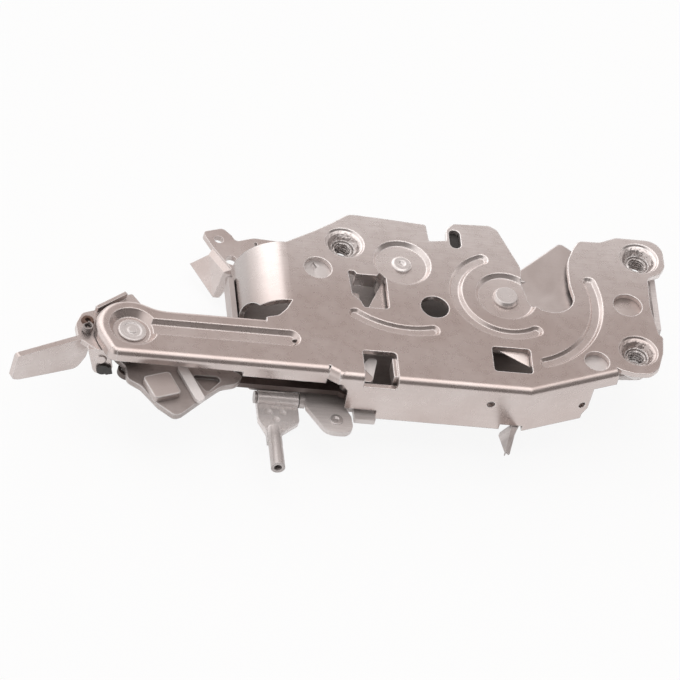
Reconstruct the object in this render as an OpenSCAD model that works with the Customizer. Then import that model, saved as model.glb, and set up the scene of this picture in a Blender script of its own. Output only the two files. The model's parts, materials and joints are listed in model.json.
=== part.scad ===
// Car door latch with a rotary fork, a remote arm and levers.
// The origin is the striker's seat at the closed end of the throat, in the plane of the mounting face.
// X runs along the latch, Y points to the side where the striker enters, Z out of the mounting face.

/* [Sheet metal] */
// Thickness of the face plate
face_t = 2; // [1.8:0.1:2.2]
// Thickness of the back plate
back_t = 2; // [1.8:0.1:2.4]
// Thickness of the levers
lever_t = 2.2; // [2:0.1:2.4]
// Outside radius of the folds of the face plate
bend_r = 2.6; // [2.4:0.1:3]

/* [Latch box] */
// Depth of the box, from the mounting face to the rear of the back plate
box_d = 20; // [20:0.5:23]
// Distance from the striker's seat to the outside of the lower flange
skirt_y = 47.3; // [46.8:0.1:49]
// Depth of the lower flange
skirt_d = 19.8; // [18.5:0.1:20]
// Angle of the slanted end of the lower flange
slant = 21.3; // [19:0.1:23]
// Radius of the rolled left wall
roll_r = 16; // [15:0.5:16]
// Depth of the rolled left wall
roll_d = 17; // [16.6:0.1:17.4]
// Distance from the striker's seat to the outside of the rolled wall
roll_x = 109; // [108.5:0.5:110]

/* [Throat] */
// Half width of the throat at its closed end
throat_r = 8.4; // [7.8:0.1:8.6]
// Half width of the throat at its straight right side
throat_side = 7.5; // [7:0.1:7.7]

/* [Fork bolt] */
// Distance of the fork's pivot from the striker's seat, along the latch
fork_reach = 16; // [15.5:0.1:16.5]
// Distance of the fork's pivot below the striker's seat
fork_drop = 2.4; // [2:0.1:3]
// Thickness of the fork bolt
fork_t = 6.5; // [5.5:0.1:6.7]
// Radius of the rim with the ratchet notches
ratchet_r = 18; // [17.5:0.1:18.5]
// Radius of the lower tooth, which pulls the striker in
tooth_r = 38.8; // [37:0.1:39]
// Radius of the upper tooth
upper_r = 26.5; // [25.5:0.1:27]
// Radius of the striker's seat in the fork
seat_r = 6.3; // [6:0.1:6.5]
// Depth of the ratchet notches
notch_d = 2.3; // [1.5:0.1:3]
// Travel of the fork from open to closed
fork_travel = 80; // [76:1:82]
// Radius of the fork's pivot
fork_pin_r = 5; // [4.5:0.1:5.4]

/* [Detent] */
// Radius of the detent's pivot
detent_pin_r = 3; // [2.6:0.1:3.4]
// Radius of the detent's hub
detent_hub_r = 7; // [6.5:0.1:7.4]
// Half width of the detent's tail
tail_w = 3.6; // [3.2:0.1:4]

/* [Arm] */
// Distance from the striker's seat to the stud of the arm
arm_x = 150.8; // [149:0.1:153]
// Distance of the stud below the striker's seat
arm_y = 32; // [31.4:0.1:32.4]
// Outside radius of the arm's round end
arm_end_r = 13; // [12.8:0.1:13.4]
// Depth of the rim round the arm
arm_rim_d = 4.5; // [4:0.1:4.6]
// Depth of the rim where it meets the box
root_rim_d = 6.6; // [5.5:0.1:7.5]
// Depth of the recess round the stud
boss_d = 2.6; // [2.4:0.1:2.8]
// Radius of that recess at its rim
boss_r = 8.6; // [8.2:0.1:9]

/* [Beads and recesses] */
// Depth of the curved beads
bead_d = 1.1; // [0.8:0.1:1.2]
// Width of the curved beads
bead_w = 4.6; // [4:0.1:5]
// Depth of the bead of the arm
arm_bead_d = 1.6; // [1.2:0.1:1.8]
// Width of the bead of the arm
arm_bead_w = 7.3; // [6.5:0.1:7.8]
// Depth of the pivot recesses
recess_d = 1.5; // [1.2:0.1:1.6]
// Radius of the fork's recess at its rim
fork_recess_r = 10.9; // [10.5:0.1:11.3]
// Radius of the detent's recess at its rim
detent_recess_r = 10.3; // [9.9:0.1:10.7]

/* [Fixing points] */
// Radius of the screw threads
screw_r = 3; // [2.5:0.1:3.2]
// Radius of the screw dimples at the mounting face
dimple_r = 7; // [6.6:0.1:7.4]
// Depth of the screw dimples
dimple_d = 3.2; // [2.8:0.1:3.4]
// Radius of the nut's collar
collar_r = 3.9; // [3.7:0.1:4]
// Height of the nuts
nut_h = 3.5; // [3:0.1:4]
// Width of the nuts across corners
nut_w = 12; // [11:0.1:12.4]

/* [Levers] */
// Radius of the stud that carries the inside and lock levers
stud_r = 3.5; // [3.2:0.1:3.8]
// Radius of the small pins in the links
pin_r = 2; // [1.7:0.1:2.2]
// Distance of the link pin from the stud
link_arm = 11; // [10.5:0.1:11.3]
// Distance of the lock pin from the stud
lock_arm = 8.4; // [8.2:0.1:8.8]
// Length of the release blade
blade_len = 25.4; // [22:0.1:30]
// Depth of the release blade at its root
blade_d = 15.1; // [13:0.1:17]
// Length of the ear that takes the pull rod
ear_len = 12.4; // [11:0.1:13]
// Width of the square slide block on the lock lever
block_w = 10.2; // [9:0.1:10.6]
// Height of that block
block_h = 2.4; // [1.6:0.1:2.6]
// Distance of the finger lever's post above the lock bar
finger_arm = 11; // [10.5:0.1:11.5]
// Radius of the posts of the finger lever and the outside handle lever
post_r = 3; // [2.6:0.1:3.2]
// Radius of the hinge pin of the key lever
key_pin_r = 1.6; // [1.3:0.1:1.7]
// Outside radius of the key lever's barrel and its knuckles
barrel_r = 2.6; // [2.5:0.1:2.8]
// Outside radius of the rolled tube of the key lever
tube_r = 2.5; // [2.3:0.1:2.8]
// Width of the key lever's barrel
key_w = 14.5; // [13.5:0.1:15.5]
// Thickness of the key lever
key_t = 2; // [1.8:0.1:2.2]
// Length of the key lever beyond its hinge
key_len = 31.8; // [28:0.1:36]

/* [Springs] */
// Diameter of the fork spring's wire
fork_wire = 1.8; // [1.4:0.1:1.9]
// Diameter of the detent spring's wire
detent_wire = 1.4; // [1.1:0.1:1.5]
// Diameter of the lock lever spring's wire
lock_wire = 1.1; // [0.9:0.1:1.2]

/* [Clearances] */
// Gap between neighbouring layers
layer_gap = 0.3; // [0.2:0.05:0.35]
// Radial gap of a pivot in its bore
pin_gap = 0.06; // [0.03:0.01:0.1]
// Radial gap of a rivet's neck in its plate
neck_gap = 0.02; // [0.01:0.01:0.05]
// Radial gap of the link pins in their slots
slot_gap = 0.3; // [0.3:0.05:0.4]

/* [Hidden] */
$fn = 64;

// A cutter runs this far past the face that it cuts
over = 1;
// How far a fold laps over the flat sheet that it grows from
lap = 1;
// How far the flat sheet stays back from the line where the lower flange starts to fold
tuck = 0.3;
// How far the step in the lower flange runs into the folds at its two ends, and lies inside their faces
jog_lap = 0.4;
jog_inset = 0.15;
// How far the turns and runs of the arm's rim run on inside their neighbours, and lie inside their faces
turn_lap = 3;
run_lap = 0.5;
turn_step = 0.1;
// How much wider a bead is at its round ends
bead_swell = 0.08;
// Gap between a coil and the foot inside it
coil_gap = 0.3;
// How much wider the feet of the fork's and the detent's pivots are than their shoulders
fork_foot = 1.2;
detent_foot = 1.8;

// Centres of the pivots and fixing points
fork_c = [-fork_reach, -fork_drop];
detent_c = [-52.1, 9.3];
stud_c = [-arm_x, -arm_y];
arm_end_c = stud_c;
finger_c = [-74, stud_c[1] - lock_arm + finger_arm];
outside_c = [-56, 21];
screw_right = [33.8, 21.1];
screw_low = [29.2, -23.2];
screw_left = [-72, 16.4];
screws = [screw_right, screw_low, screw_left];
posts = [[31, 8.5], [-84, -12], [-46, 22], [-45, -38]];
bumper_c = fork_c + (ratchet_r + 6.98) * [cos(132.9), sin(132.9)];
ear_c = [-76.9, -51.2];

// Heights, from the mounting face downwards
recess_back = -(face_t + recess_d);
fork_top = recess_back - layer_gap;
fork_low = fork_top - fork_t;
tail_low = fork_top - lever_t;
boss_back = -(face_t + boss_d);
pull_top = boss_back - layer_gap;
pull_low = pull_top - lever_t;
link_top = pull_low - layer_gap;
link_low = link_top - lever_t;
lock_top = link_low - 2 * layer_gap;
lock_low = lock_top - lever_t;
bar_top = lock_low - layer_gap;
bar_low = bar_top - lever_t;
finger_top = boss_back;
finger_low = finger_top - lever_t;
back_z = -(box_d - back_t);
rear_z = -box_d;
outside_top = rear_z - layer_gap;
outside_low = outside_top - lever_t;

// Middle of the key lever's barrel, and the width of the knuckle beside it
key_c = [-96.45, -41.2, rear_z - 0.5];
knuckle_w = 2;

// Lines of the folds
skirt_in = -(skirt_y - bend_r);
slant_root = [-11, skirt_in];
slant_dir = [cos(slant), sin(slant)];
slant_out = [sin(slant), -cos(slant)];
slant_len = 34;
slant_deep = 25;
roll_in = -(roll_x - roll_r);
roll_foot = -13;
rear_left = -(roll_x + layer_gap + back_t);
arm_low = arm_end_c[1] - arm_end_r;
arm_high = stud_c[1] + 9.8;
neck_r = 12;
neck_up = arm_high + neck_r - arm_end_c[1];
neck_c = arm_end_c + [sqrt(pow(arm_end_r + neck_r, 2) - pow(neck_up, 2)), neck_up];
neck_dir = bearing(neck_c - arm_end_c);
arm_root = -103;
// Heel at the lower left of the arm's round end: which way its slanted edge faces, and its corner
heel_dir = 203.6;
heel_out = [cos(heel_dir), sin(heel_dir)];
heel_r = bend_r + 0.6;
heel_c = arm_end_c + (arm_end_r - heel_r) * [(1 + sin(heel_dir)) / cos(heel_dir), -1];
deep_rim_x = -112;
jog_left = -82.5;
jog_right = -78.8;
skirt_left = -77.3;

function flat(p) = [p[0], p[1]];
function unit(v) = v / norm(v);
function wrap(a) = a > 180 ? a - 360 : a < -180 ? a + 360 : a;
function bearing(v) = atan2(v[1], v[0]);

// How much of an edge an arc may take: half, or all of it where the next corner is sharp
function room(a, b) = norm(flat(a) - flat(b)) * (a[2] == 0 ? 1 : 0.5);

// One corner of an outline, [x, y, radius], as the points of its arc
function corner(a, b, c) =
    let (
        to_a = unit(flat(a) - flat(b)),
        to_c = unit(flat(c) - flat(b)),
        half = acos(to_a * to_c) / 2,
        r = min(b[2], tan(half) * min(room(a, b), room(c, b))),
        middle = flat(b) + unit(to_a + to_c) * r / sin(half),
        first = bearing(flat(b) + to_a * r / tan(half) - middle),
        last = bearing(flat(b) + to_c * r / tan(half) - middle),
        turn = wrap(last - first),
        steps = max(2, ceil(abs(turn) / 15))
    )
    [for (i = [0 : steps]) middle + r * [cos(first + turn * i / steps), sin(first + turn * i / steps)]];

// A closed outline with its corners rounded
function rounded(p) =
    let (n = len(p))
    [for (i = [0 : n - 1])
        each (p[i][2] == 0 ? [flat(p[i])] : corner(p[(i + n - 1) % n], p[i], p[(i + 1) % n]))];

// Points of an arc as unrounded corners of an outline
function arc(c, r, from, to, steps) =
    [for (i = [0 : steps])
        let (a = from + (to - from) * i / steps)
        [c[0] + r * cos(a), c[1] + r * sin(a), 0]];

module at(c) {
    translate([c[0], c[1], 0]) children();
}

// A sheet cut to an outline, with its upper face at a height
module sheet(top, t) {
    translate([0, 0, top - t]) linear_extrude(height = t) children();
}

// A round bar between two heights
module rod(c, r, low, high) {
    translate([c[0], c[1], low]) cylinder(h = high - low, r = r);
}

// A bar with round ends, as an outline
module slot2d(a, b, r) {
    d = b - a;
    translate(a) circle(r = r);
    translate(b) circle(r = r);
    translate(a) rotate(bearing(d)) translate([0, -r]) square([norm(d), 2 * r]);
}

// A wire swept along its points
module wire(p, r, n = 8) {
    rings = [for (i = [0 : len(p) - 1])
        let (
            t = unit(p[min(i + 1, len(p) - 1)] - p[max(i - 1, 0)]),
            u = unit(cross([0, 0, 1], t)),
            v = cross(t, u)
        )
        for (k = [0 : n - 1])
            p[i] + r * (u * cos(360 * k / n) + v * sin(360 * k / n))];
    sides = [for (i = [0 : len(p) - 2])
        for (k = [0 : n - 1])
            let (a = i * n + k, b = i * n + (k + 1) % n)
            each [[a, a + n, b + n], [a, b + n, b]]];
    first = [for (k = [0 : n - 1]) k];
    last = [for (k = [n - 1 : -1 : 0]) (len(p) - 1) * n + k];
    polyhedron(points = rings, faces = concat(sides, [first, last]));
}

// Centre line of a coil that climbs from one height to another
function coil(c, r, low, high, turns, from) =
    let (steps = turns * 16)
    [for (i = [0 : steps])
        let (a = from + 360 * turns * i / steps)
        [c[0] + r * cos(a), c[1] + r * sin(a), low + (high - low) * i / steps]];

// Section of a fold: the flat sheet arrives from the left and the wall goes down on the right
module fold2d(depth, r, run_in) {
    difference() {
        intersection() {
            translate([0, -r]) circle(r = r);
            translate([0, -r]) square([r, r]);
        }
        translate([0, -r]) circle(r = r - face_t);
    }
    translate([r - face_t, -depth]) square([face_t, depth - r]);
    if (run_in > 0) translate([-run_in, -face_t]) square([run_in, face_t]);
}

// Fold along a straight line; its outer face is on the right hand of the way from a to b
module fold_run(a, b, depth, r = bend_r) {
    d = b - a;
    at(a) rotate([0, 0, bearing(d)]) rotate([90, 0, 90]) linear_extrude(height = norm(d))
        translate([r, 0]) mirror([1, 0]) fold2d(depth, r, lap);
}

// Fold round a corner or a round end
module fold_turn(c, r, from, to, depth) {
    at(c) rotate([0, 0, from]) rotate_extrude(angle = to - from)
        translate([r - bend_r, 0]) fold2d(depth, bend_r, min(lap, r - bend_r));
}

// Fold round a hollow corner, whose centre lies outside the sheet
module fold_neck(c, r, from, to, depth) {
    at(c) rotate([0, 0, from]) rotate_extrude(angle = to - from)
        translate([r + bend_r, 0]) mirror([1, 0]) fold2d(depth, bend_r, lap);
}

// Section of a pressed bead, with sides at 45 degrees that run on above the face by the height given
module bead2d(w, d, top) {
    polygon([[-w / 2 - top, top], [w / 2 + top, top], [w / 2 - d, -d], [d - w / 2, -d]]);
}

// Round end of a bead, a little wider than the bead itself
module bead_end(c, w, d, top) {
    r = w / 2 + bead_swell;
    translate([c[0], c[1], -d]) cylinder(h = d + top, r1 = r - d, r2 = r + top);
}

module bead_arc(c, r, from, to, w, d, top) {
    at(c) rotate([0, 0, from]) rotate_extrude(angle = to - from) translate([r, 0]) bead2d(w, d, top);
    bead_end(c + r * [cos(from), sin(from)], w, d, top);
    bead_end(c + r * [cos(to), sin(to)], w, d, top);
}

module bead_line(a, b, w, d, top) {
    at(a) rotate([0, 0, bearing(b - a)]) rotate([90, 0, 90]) linear_extrude(height = norm(b - a))
        bead2d(w, d, top);
    bead_end(a, w, d, top);
    bead_end(b, w, d, top);
}

// Round recess with a sloping wall
module dish(c, rim_r, floor_r, d, top) {
    slope = (rim_r - floor_r) / d;
    translate([c[0], c[1], -d]) cylinder(h = d + top, r1 = floor_r, r2 = rim_r + slope * top);
}

// How much wider a pressed form is behind the sheet than in front
boss_grow = face_t * 0.83;
// How deep the root of such a form lies inside the sheet
boss_root = 0.4;

// Face plate: outline of the flat sheet inside the folds
face_outline = concat([
    [skirt_left, skirt_in + tuck, 0],
    [slant_root[0], slant_root[1] + tuck, 0],
    flat3(slant_root + slant_dir - tuck * slant_out, 0),
    flat3(slant_root + slant_len * slant_dir - tuck * slant_out, 0.4),
    [22.4, -33.1, 0.6], [26.9, -34.2, 3], [32.8, -33.8, 4], [36, -30.6, 3],
    [38.1, -23.3, 6], [38.8, -16, 1], [37.4, -14.2, 1], [35.6, -2, 20], [36, 12, 2],
    [40.7, 14.4, 2.5], [42.8, 18, 3], [42.8, 30.1, 9], [26.4, 30.1, 3], [20.2, 27.2, 4],
    [12.7, 27, 2.5], [10.4, 23.2, 3], [8, 17.5, 5], [throat_side, 13.2, 5], [throat_side, 6, 3],
    [throat_r, 0, 0], [throat_r, -throat_r, throat_r], [-throat_r, -throat_r, throat_r],
    [-throat_r, 0, 0], [-9.9, 6.5, 2.5], [-9.6, 11.7, 5], [-16.4, 28.8, 2.5], [-19, 30.6, 2.5],
    [-32, 30, 2.5], [-34.8, 27, 2], [-35.2, 21.6, 0.5], [-41.5, 20.7, 0.5], [-42, 28.4, 0.8],
    [-58.5, 29.7, 12], [-69.5, 30.3, 5], [-75.5, 25.6, 8], [-83, 20.5, 10],
    [roll_in, 14.5, 0], [roll_in, roll_foot, 0], [-95.4, -17.4, 2.5], [-98.4, arm_high + 1.4, 3],
    [arm_root, arm_high, 0], [arm_root, arm_high - bend_r, 0], [arm_root, arm_low + bend_r, 0],
    [jog_left, arm_low + bend_r, 0]]);

upper_window = [[-58.6, -13.5, 1.5], [-58.6, 3.4, 0.9], [-61, 3.4, 0.9], [-61.6, 2, 0], [-69, 2, 0],
    [-69.6, 3.4, 0.9], [-72, 3.4, 0.9], [-71.3, -7.9, 1], [-68.4, -11, 1], [-67.6, -13.5, 1]];
fork_window = [[-23.5, -38.5, 1.2], [-9.8, -38.5, 1.2], [-9.8, -27, 1.2], [-23.5, -27, 1.2]];
lower_window = [[-70, -34, 1.2], [-58, -34, 1.2], [-58, -60, 0], [-70, -60, 0]];

// The flat sheet of the face and the arm
module face_sheet() {
    sheet(0, face_t) {
        polygon(rounded(face_outline));
        translate([arm_end_c[0], arm_low + bend_r + tuck])
            square([arm_root - arm_end_c[0] + lap, arm_high - arm_low - 2 * (bend_r + tuck)]);
        translate(arm_end_c) circle(r = arm_end_r - bend_r - tuck);
        polygon([arm_end_c, arm_end_c + (arm_end_r - bend_r - tuck) * heel_out,
            heel_c + (heel_r - bend_r - tuck) * heel_out, heel_c - [0, heel_r - bend_r - tuck],
            [arm_end_c[0] + lap, arm_low + bend_r + tuck]]);
    }
}

// The lower flange, with its slanted end and the step to the arm
module skirt() {
    out = -skirt_y;
    slant_end = slant_root + slant_len * slant_dir + bend_r * slant_out;
    difference() {
        union() {
            fold_run([jog_right, out], [slant_root[0], out], skirt_d);
            fold_turn(slant_root, bend_r, -90, slant - 90, skirt_d);
            fold_run(slant_root + bend_r * slant_out, slant_end, skirt_d);
        }
        skirt_trim();
    }
    jog = unit([jog_right - jog_left, out - arm_low]);
    fold_run([jog_left, arm_low + jog_inset] - jog_lap * jog, [jog_right, out + jog_inset] + jog_lap * jog,
        arm_rim_d);
}

// Cuts in the lower flange: its left end, its lower corners, the spike's notch and two small holes
module skirt_trim() {
    far = skirt_d + over;
    edge = slant_root + slant_deep * slant_dir;
    past = slant_len - slant_deep + over;
    at([0, -skirt_y]) rotate([90, 0, 0]) translate([0, 0, -10]) linear_extrude(height = 20) {
        polygon([[jog_right - 1, -4.4], [skirt_left, -4.4], [-74.9, -7.2], [-74.2, -15.8],
            [-62.8, -15.8], [-62.8, -far], [jog_right - 1, -far]]);
        polygon([[-18.6, -far], [-18.6, -17.4], [-10.6, -17.4], [-10.6, -far]]);
        translate([-23.9, -7.9]) circle(r = 1.4);
    }
    at(edge) rotate([0, 0, slant]) rotate([90, 0, 0]) translate([0, 0, -10]) linear_extrude(height = 20) {
        polygon([[past, -far], [past, -5.6], [0, -5.6], [-0.2, -15], [-2, -17.8], [-2, -far]]);
        translate([-3, -12.9]) circle(r = 1.3);
    }
}

// The rim round the arm
module arm_rim() {
    fold_turn(arm_end_c, arm_end_r - turn_step, neck_dir - turn_lap, heel_dir + turn_lap, arm_rim_d);
    fold_run(arm_end_c + arm_end_r * heel_out, heel_c + heel_r * heel_out, arm_rim_d);
    fold_turn(heel_c, heel_r - turn_step, heel_dir - turn_lap, 270 + turn_lap, arm_rim_d);
    fold_neck(neck_c, neck_r, neck_dir + 180, 270, arm_rim_d);
    fold_run([arm_root, arm_high - turn_step], [neck_c[0] - run_lap, arm_high - turn_step], arm_rim_d);
    fold_run([heel_c[0], arm_low], [deep_rim_x, arm_low], arm_rim_d);
    fold_run([deep_rim_x, arm_low], [jog_left, arm_low], root_rim_d);
}

// Forms pressed into the face: wider by grow, and run on above the face by top
module pressed_forms(grow, top) {
    arm_line = arm_end_c[1] + 0.8;
    arm_bead_end = -91.8 - arm_bead_w / 2;
    bead_arc(fork_c, 18.1, 114, 301, bead_w + grow, bead_d, top);
    bead_arc(fork_c, 32.2, -69, 18, bead_w + grow, bead_d, top);
    bead_arc(detent_c, 32.2, 234, 285, bead_w + grow, bead_d, top);
    bead_line([arm_end_c[0] + 4, arm_line], [arm_bead_end, arm_line], arm_bead_w + grow, arm_bead_d, top);
    dish(fork_c, fork_recess_r + grow / 2, fork_recess_r - 1.3 + grow / 2, recess_d, top);
    dish(detent_c, detent_recess_r + grow / 2, detent_recess_r - 1.3 + grow / 2, recess_d, top);
    dish(stud_c, boss_r + grow / 2, boss_r - 2.1 + grow / 2, boss_d, top);
    for (c = screws) dish(c, dimple_r + grow / 2, collar_r + 0.3 + grow / 2, dimple_d, top);
}

// Tabs folded rearward at the windows and at the notch in the upper edge
module window_tabs() {
    translate([-69, 2, -6]) cube([7.4, face_t, 6 - face_t / 2]);
    translate([-59.5, -44.5, -6]) cube([face_t - 0.2, 8.5, 6 - face_t / 2]);
    translate([-41, 19.2, -7]) cube([5.4, face_t - 0.4, 7 - face_t / 2]);
}

module frame_plate() {
    color("silver") difference() {
        union() {
            face_sheet();
            skirt();
            arm_rim();
            fold_run([-roll_x, 14.5], [-roll_x, roll_foot], roll_d, roll_r);
            translate([0, 0, -face_t]) pressed_forms(boss_grow, boss_root);
            window_tabs();
        }
        pressed_forms(0, over);
        translate([0, 0, -8]) linear_extrude(height = 9) {
            polygon(rounded(upper_window));
            polygon(rounded(fork_window));
        }
        difference() {
            translate([0, 0, -4.5]) linear_extrude(height = 6) polygon(rounded(lower_window));
            translate([-59.5, -44.5, -6]) cube([face_t, 8.5, 6 - face_t / 2]);
        }
        rod([-42.2, -10.6], 5, -8, over);
        rod([27.5, -1.8], 5.1, -8, over);
        rod([-82.6, 3.5], 4.9, -8, over);
        rod([13.8, -29.8], 4.4, -8, over);
        rod([-93.5, arm_end_c[1] + 0.8], 0.8, -8, over);
        translate([0, 0, -4]) linear_extrude(height = 5) slot2d([-32, 20.4], [-32, 25], 2);
        throat_cut();
        translate([-roll_x - over, -15.4, -10.6]) rotate([0, 90, 0]) cylinder(h = 14, r = 6.8);
        rod(fork_c, 3.6 + neck_gap, -8, over);
        rod(detent_c, 2.4 + neck_gap, -8, over);
        rod(stud_c, 2.8 + neck_gap, -8, over);
        for (c = screws) rod(c, collar_r + neck_gap, -12, over);
    }
}

// The throat again, to cut the pressed forms that lie across its edge
module throat_cut() {
    translate([0, 0, -8]) linear_extrude(height = 9)
        polygon(rounded([[-9.9, 6.5, 0], [-throat_r, 0, 0], [-throat_r, -throat_r, throat_r],
            [throat_r, -throat_r, throat_r], [throat_r, 0, 0], [throat_side, 6, 0]]));
}

// Back plate
back_outline = [
    [-62.8, -45, 0.5], [-9, -43.9, 2], [13, -36, 3], [16, -20, 4], [36, -18, 4], [40, -8, 2],
    [40, 25, 5], [13.5, 25, 3], [10.4, 20, 3], [10.4, 0, 0], [10.4, -10.4, 10.4], [-10.4, -10.4, 10.4],
    [-10.4, 0, 0], [-11.5, 11, 3], [-17.5, 26.5, 2], [-20, 27.5, 2], [-42, 25.5, 6], [-70, 26.5, 8],
    [-101, 19, 6], [rear_left, 12, 2], [rear_left, -32, 2], [-106, -38.4, 1], [-87, -38, 0.6],
    [-87, -46, 0.8], [-80.6, -56.9, 5], [-71, -56.9, 5.4], [-71.4, -49, 0.6], [-73, -45.6, 0],
    [-72.6, -45, 0], [-70.3, -45, 0], [-70.3, -50, 0.5], [-62.8, -50, 0.5]];

module back_plate() {
    color("darkgray") difference() {
        union() {
            sheet(back_z, back_t) polygon(rounded(back_outline));
            translate([rear_left, -22, rear_z]) cube([back_t, 30, 6.5]);
            translate([40 - back_t, -8, rear_z]) cube([back_t, 24, box_d - 4.5]);
            spike();
            knuckle();
        }
        sheet(back_z + over, back_t + 2 * over) {
            translate([-72.5, -10]) square([10.5, 11]);
            translate([-36, -30]) square([14, 9]);
            circle_at([22, -2], 5);
        }
        for (c = posts) rod(c, 2 + neck_gap, rear_z - over, back_z + over);
        rod(fork_c, 3.6 + neck_gap, rear_z - over, back_z + over);
        rod(detent_c, 2.4 + neck_gap, rear_z - over, back_z + over);
        rod(finger_c, 2.2 + neck_gap, rear_z - over, back_z + over);
        rod(outside_c, 2.4 + neck_gap, rear_z - over, back_z + over);
        rod(ear_c, 1.8 + neck_gap, rear_z - over, back_z + over);
        translate(key_c) rotate([0, 90, 0]) cylinder(h = 40, r = key_pin_r + pin_gap);
    }
}

module circle_at(c, r) {
    translate(c) circle(r = r);
}

// Spike with a fold along its length
module spike() {
    root = [-13.4, -44.2];
    tip = [-17.8, -59.4];
    reach = norm(tip - root);
    translate([root[0], root[1], back_z]) rotate([0, 0, bearing(tip - root)]) {
        translate([0, 0, -back_t]) linear_extrude(height = back_t)
            polygon([[-2, 0], [-2, 3], [1, 2.4], [reach, 0.4], [reach, 0]]);
        translate([0, 0.1, -0.1]) rotate([60, 0, 0]) translate([0, 0, -back_t])
            linear_extrude(height = back_t)
                polygon([[1.4, 0], [1.8, -6.5], [3, -7], [reach - 0.4, -0.6], [reach - 0.4, 0]]);
    }
}

// Knuckle for the key lever's hinge pin
module knuckle() {
    left = key_c[0] + key_w / 2 + layer_gap;
    translate([left, key_c[1], key_c[2]]) rotate([0, 90, 0]) cylinder(h = knuckle_w, r = barrel_r);
    translate([left, key_c[1], rear_z]) cube([knuckle_w, 4, back_t]);
}

// Nuts behind the three screw dimples
module anchor_nuts() {
    seat = -(face_t + dimple_d);
    color("dimgray") for (c = screws) at(c) difference() {
        union() {
            translate([0, 0, seat - nut_h]) rotate([0, 0, 30]) cylinder(h = nut_h, r = nut_w / 2, $fn = 6);
            translate([0, 0, seat - 0.5]) cylinder(h = face_t + 0.3, r = collar_r);
        }
        translate([0, 0, seat - nut_h - over]) cylinder(h = nut_h + face_t + 2 * over, r = screw_r);
    }
}

module spacer_posts() {
    color("gray") for (c = posts) {
        rod(c, 3, back_z, -face_t);
        rod(c, 2, rear_z, back_z + 0.01);
    }
}

// Rivet with a head, a neck in the face plate, a shoulder, a wide foot and a rear head
module pivot(c, head_r, head_top, head_low, neck_r, shoulder_r, foot_r, foot_top, rear_r) {
    at(c) rotate_extrude() polygon([
        [0, rear_z - 1.4], [rear_r - 0.6, rear_z - 1.4], [rear_r, rear_z - 0.8], [rear_r, rear_z],
        [neck_r, rear_z], [neck_r, back_z], [foot_r, back_z], [foot_r, foot_top], [shoulder_r, foot_top],
        [shoulder_r, recess_back], [neck_r, recess_back], [neck_r, -recess_d], [head_r, -recess_d],
        [head_r, head_low], [head_r - 0.8, head_top], [0, head_top]]);
}

module fork_rivet() {
    color("white")
        pivot(fork_c, 4.6, 0.4, -0.9, 3.6, fork_pin_r, fork_pin_r + fork_foot, fork_low - layer_gap, 5.4);
}

module detent_rivet() {
    color("white") difference() {
        pivot(detent_c, 3.6, -0.4, -0.8, 2.4, detent_pin_r, detent_pin_r + detent_foot,
            fork_low - layer_gap, 4.2);
        translate([detent_c[0], detent_c[1], -1]) cylinder(h = over, r1 = 0.6, r2 = 2);
    }
}

// Stud that carries the inside lever and the lock lever
module arm_stud() {
    color("white") at(stud_c) rotate_extrude() polygon([
        [0, bar_top - 1.3], [stud_r + 0.4, bar_top - 1.3], [stud_r + 0.9, bar_top - 0.8],
        [stud_r + 0.9, bar_top], [stud_r, bar_top], [stud_r, boss_back], [2.8, boss_back],
        [2.8, -boss_d], [5, -boss_d], [5, 0.5 - boss_d], [4.6, 0.8 - boss_d], [3.3, 0.8 - boss_d],
        [3.1, 0.5 - boss_d], [1.7, 0.5 - boss_d], [1.4, 0.9 - boss_d], [0, 0.9 - boss_d]]);
}

module ear_rivet() {
    color("silver") at(ear_c) rotate_extrude() polygon([
        [0, rear_z - 1], [2.6, rear_z - 1], [3, rear_z], [1.8, rear_z], [1.8, back_z], [2.4, back_z],
        [2.3, back_z + 0.4], [1.2, back_z + 0.5], [0.7, back_z + 0.1], [0, back_z + 0.1]]);
}

// Hinge pin of the key lever, held in the knuckle at its right and headed at its left
module key_pin() {
    color("gray") translate(key_c - [key_w / 2 + layer_gap, 0, 0]) rotate([0, 90, 0]) {
        cylinder(h = key_w + 2 * layer_gap + knuckle_w + 0.4, r = key_pin_r);
        translate([0, 0, -0.7]) cylinder(h = 0.8, r = key_pin_r + 0.6);
    }
}

module outside_pivot() {
    color("gray") at(outside_c) rotate_extrude() polygon([
        [0, outside_low - 1.5], [3.7, outside_low - 1.5], [4.2, outside_low - 1],
        [4.2, outside_low - layer_gap], [post_r, outside_low - layer_gap], [post_r, rear_z],
        [2.4, rear_z], [2.4, back_z], [4.5, back_z], [4.5, back_z + 1], [4, back_z + 1.5],
        [0, back_z + 1.5]]);
}

module finger_post() {
    color("gray") at(finger_c) rotate_extrude() polygon([
        [0, rear_z], [2.2, rear_z], [2.2, back_z], [post_r + 1, back_z],
        [post_r + 1, finger_low - layer_gap], [post_r, finger_low - layer_gap],
        [post_r, finger_top + layer_gap], [post_r + 1.2, finger_top + layer_gap],
        [post_r + 1.2, finger_top + 0.8], [post_r + 0.7, finger_top + 1.3], [0, finger_top + 1.3]]);
}

// Rubber stop of the open fork
module fork_bumper() {
    color("black") rod(bumper_c, 2.6, fork_low, -face_t);
}

module fork_spring() {
    r = fork_pin_r + fork_foot + coil_gap + fork_wire / 2;
    low = back_z + 0.1 + fork_wire / 2;
    high = fork_low - layer_gap - 0.2 - fork_wire / 2;
    path = coil(fork_c, r, low, high, 3, 250);
    first = path[0];
    color("dimgray") wire(concat([first + [9, -3.4, 0], first + [1.2, -0.2, 0]], path,
        [path[len(path) - 1] + [4, -0.6, 0]]), fork_wire / 2);
}

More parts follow.
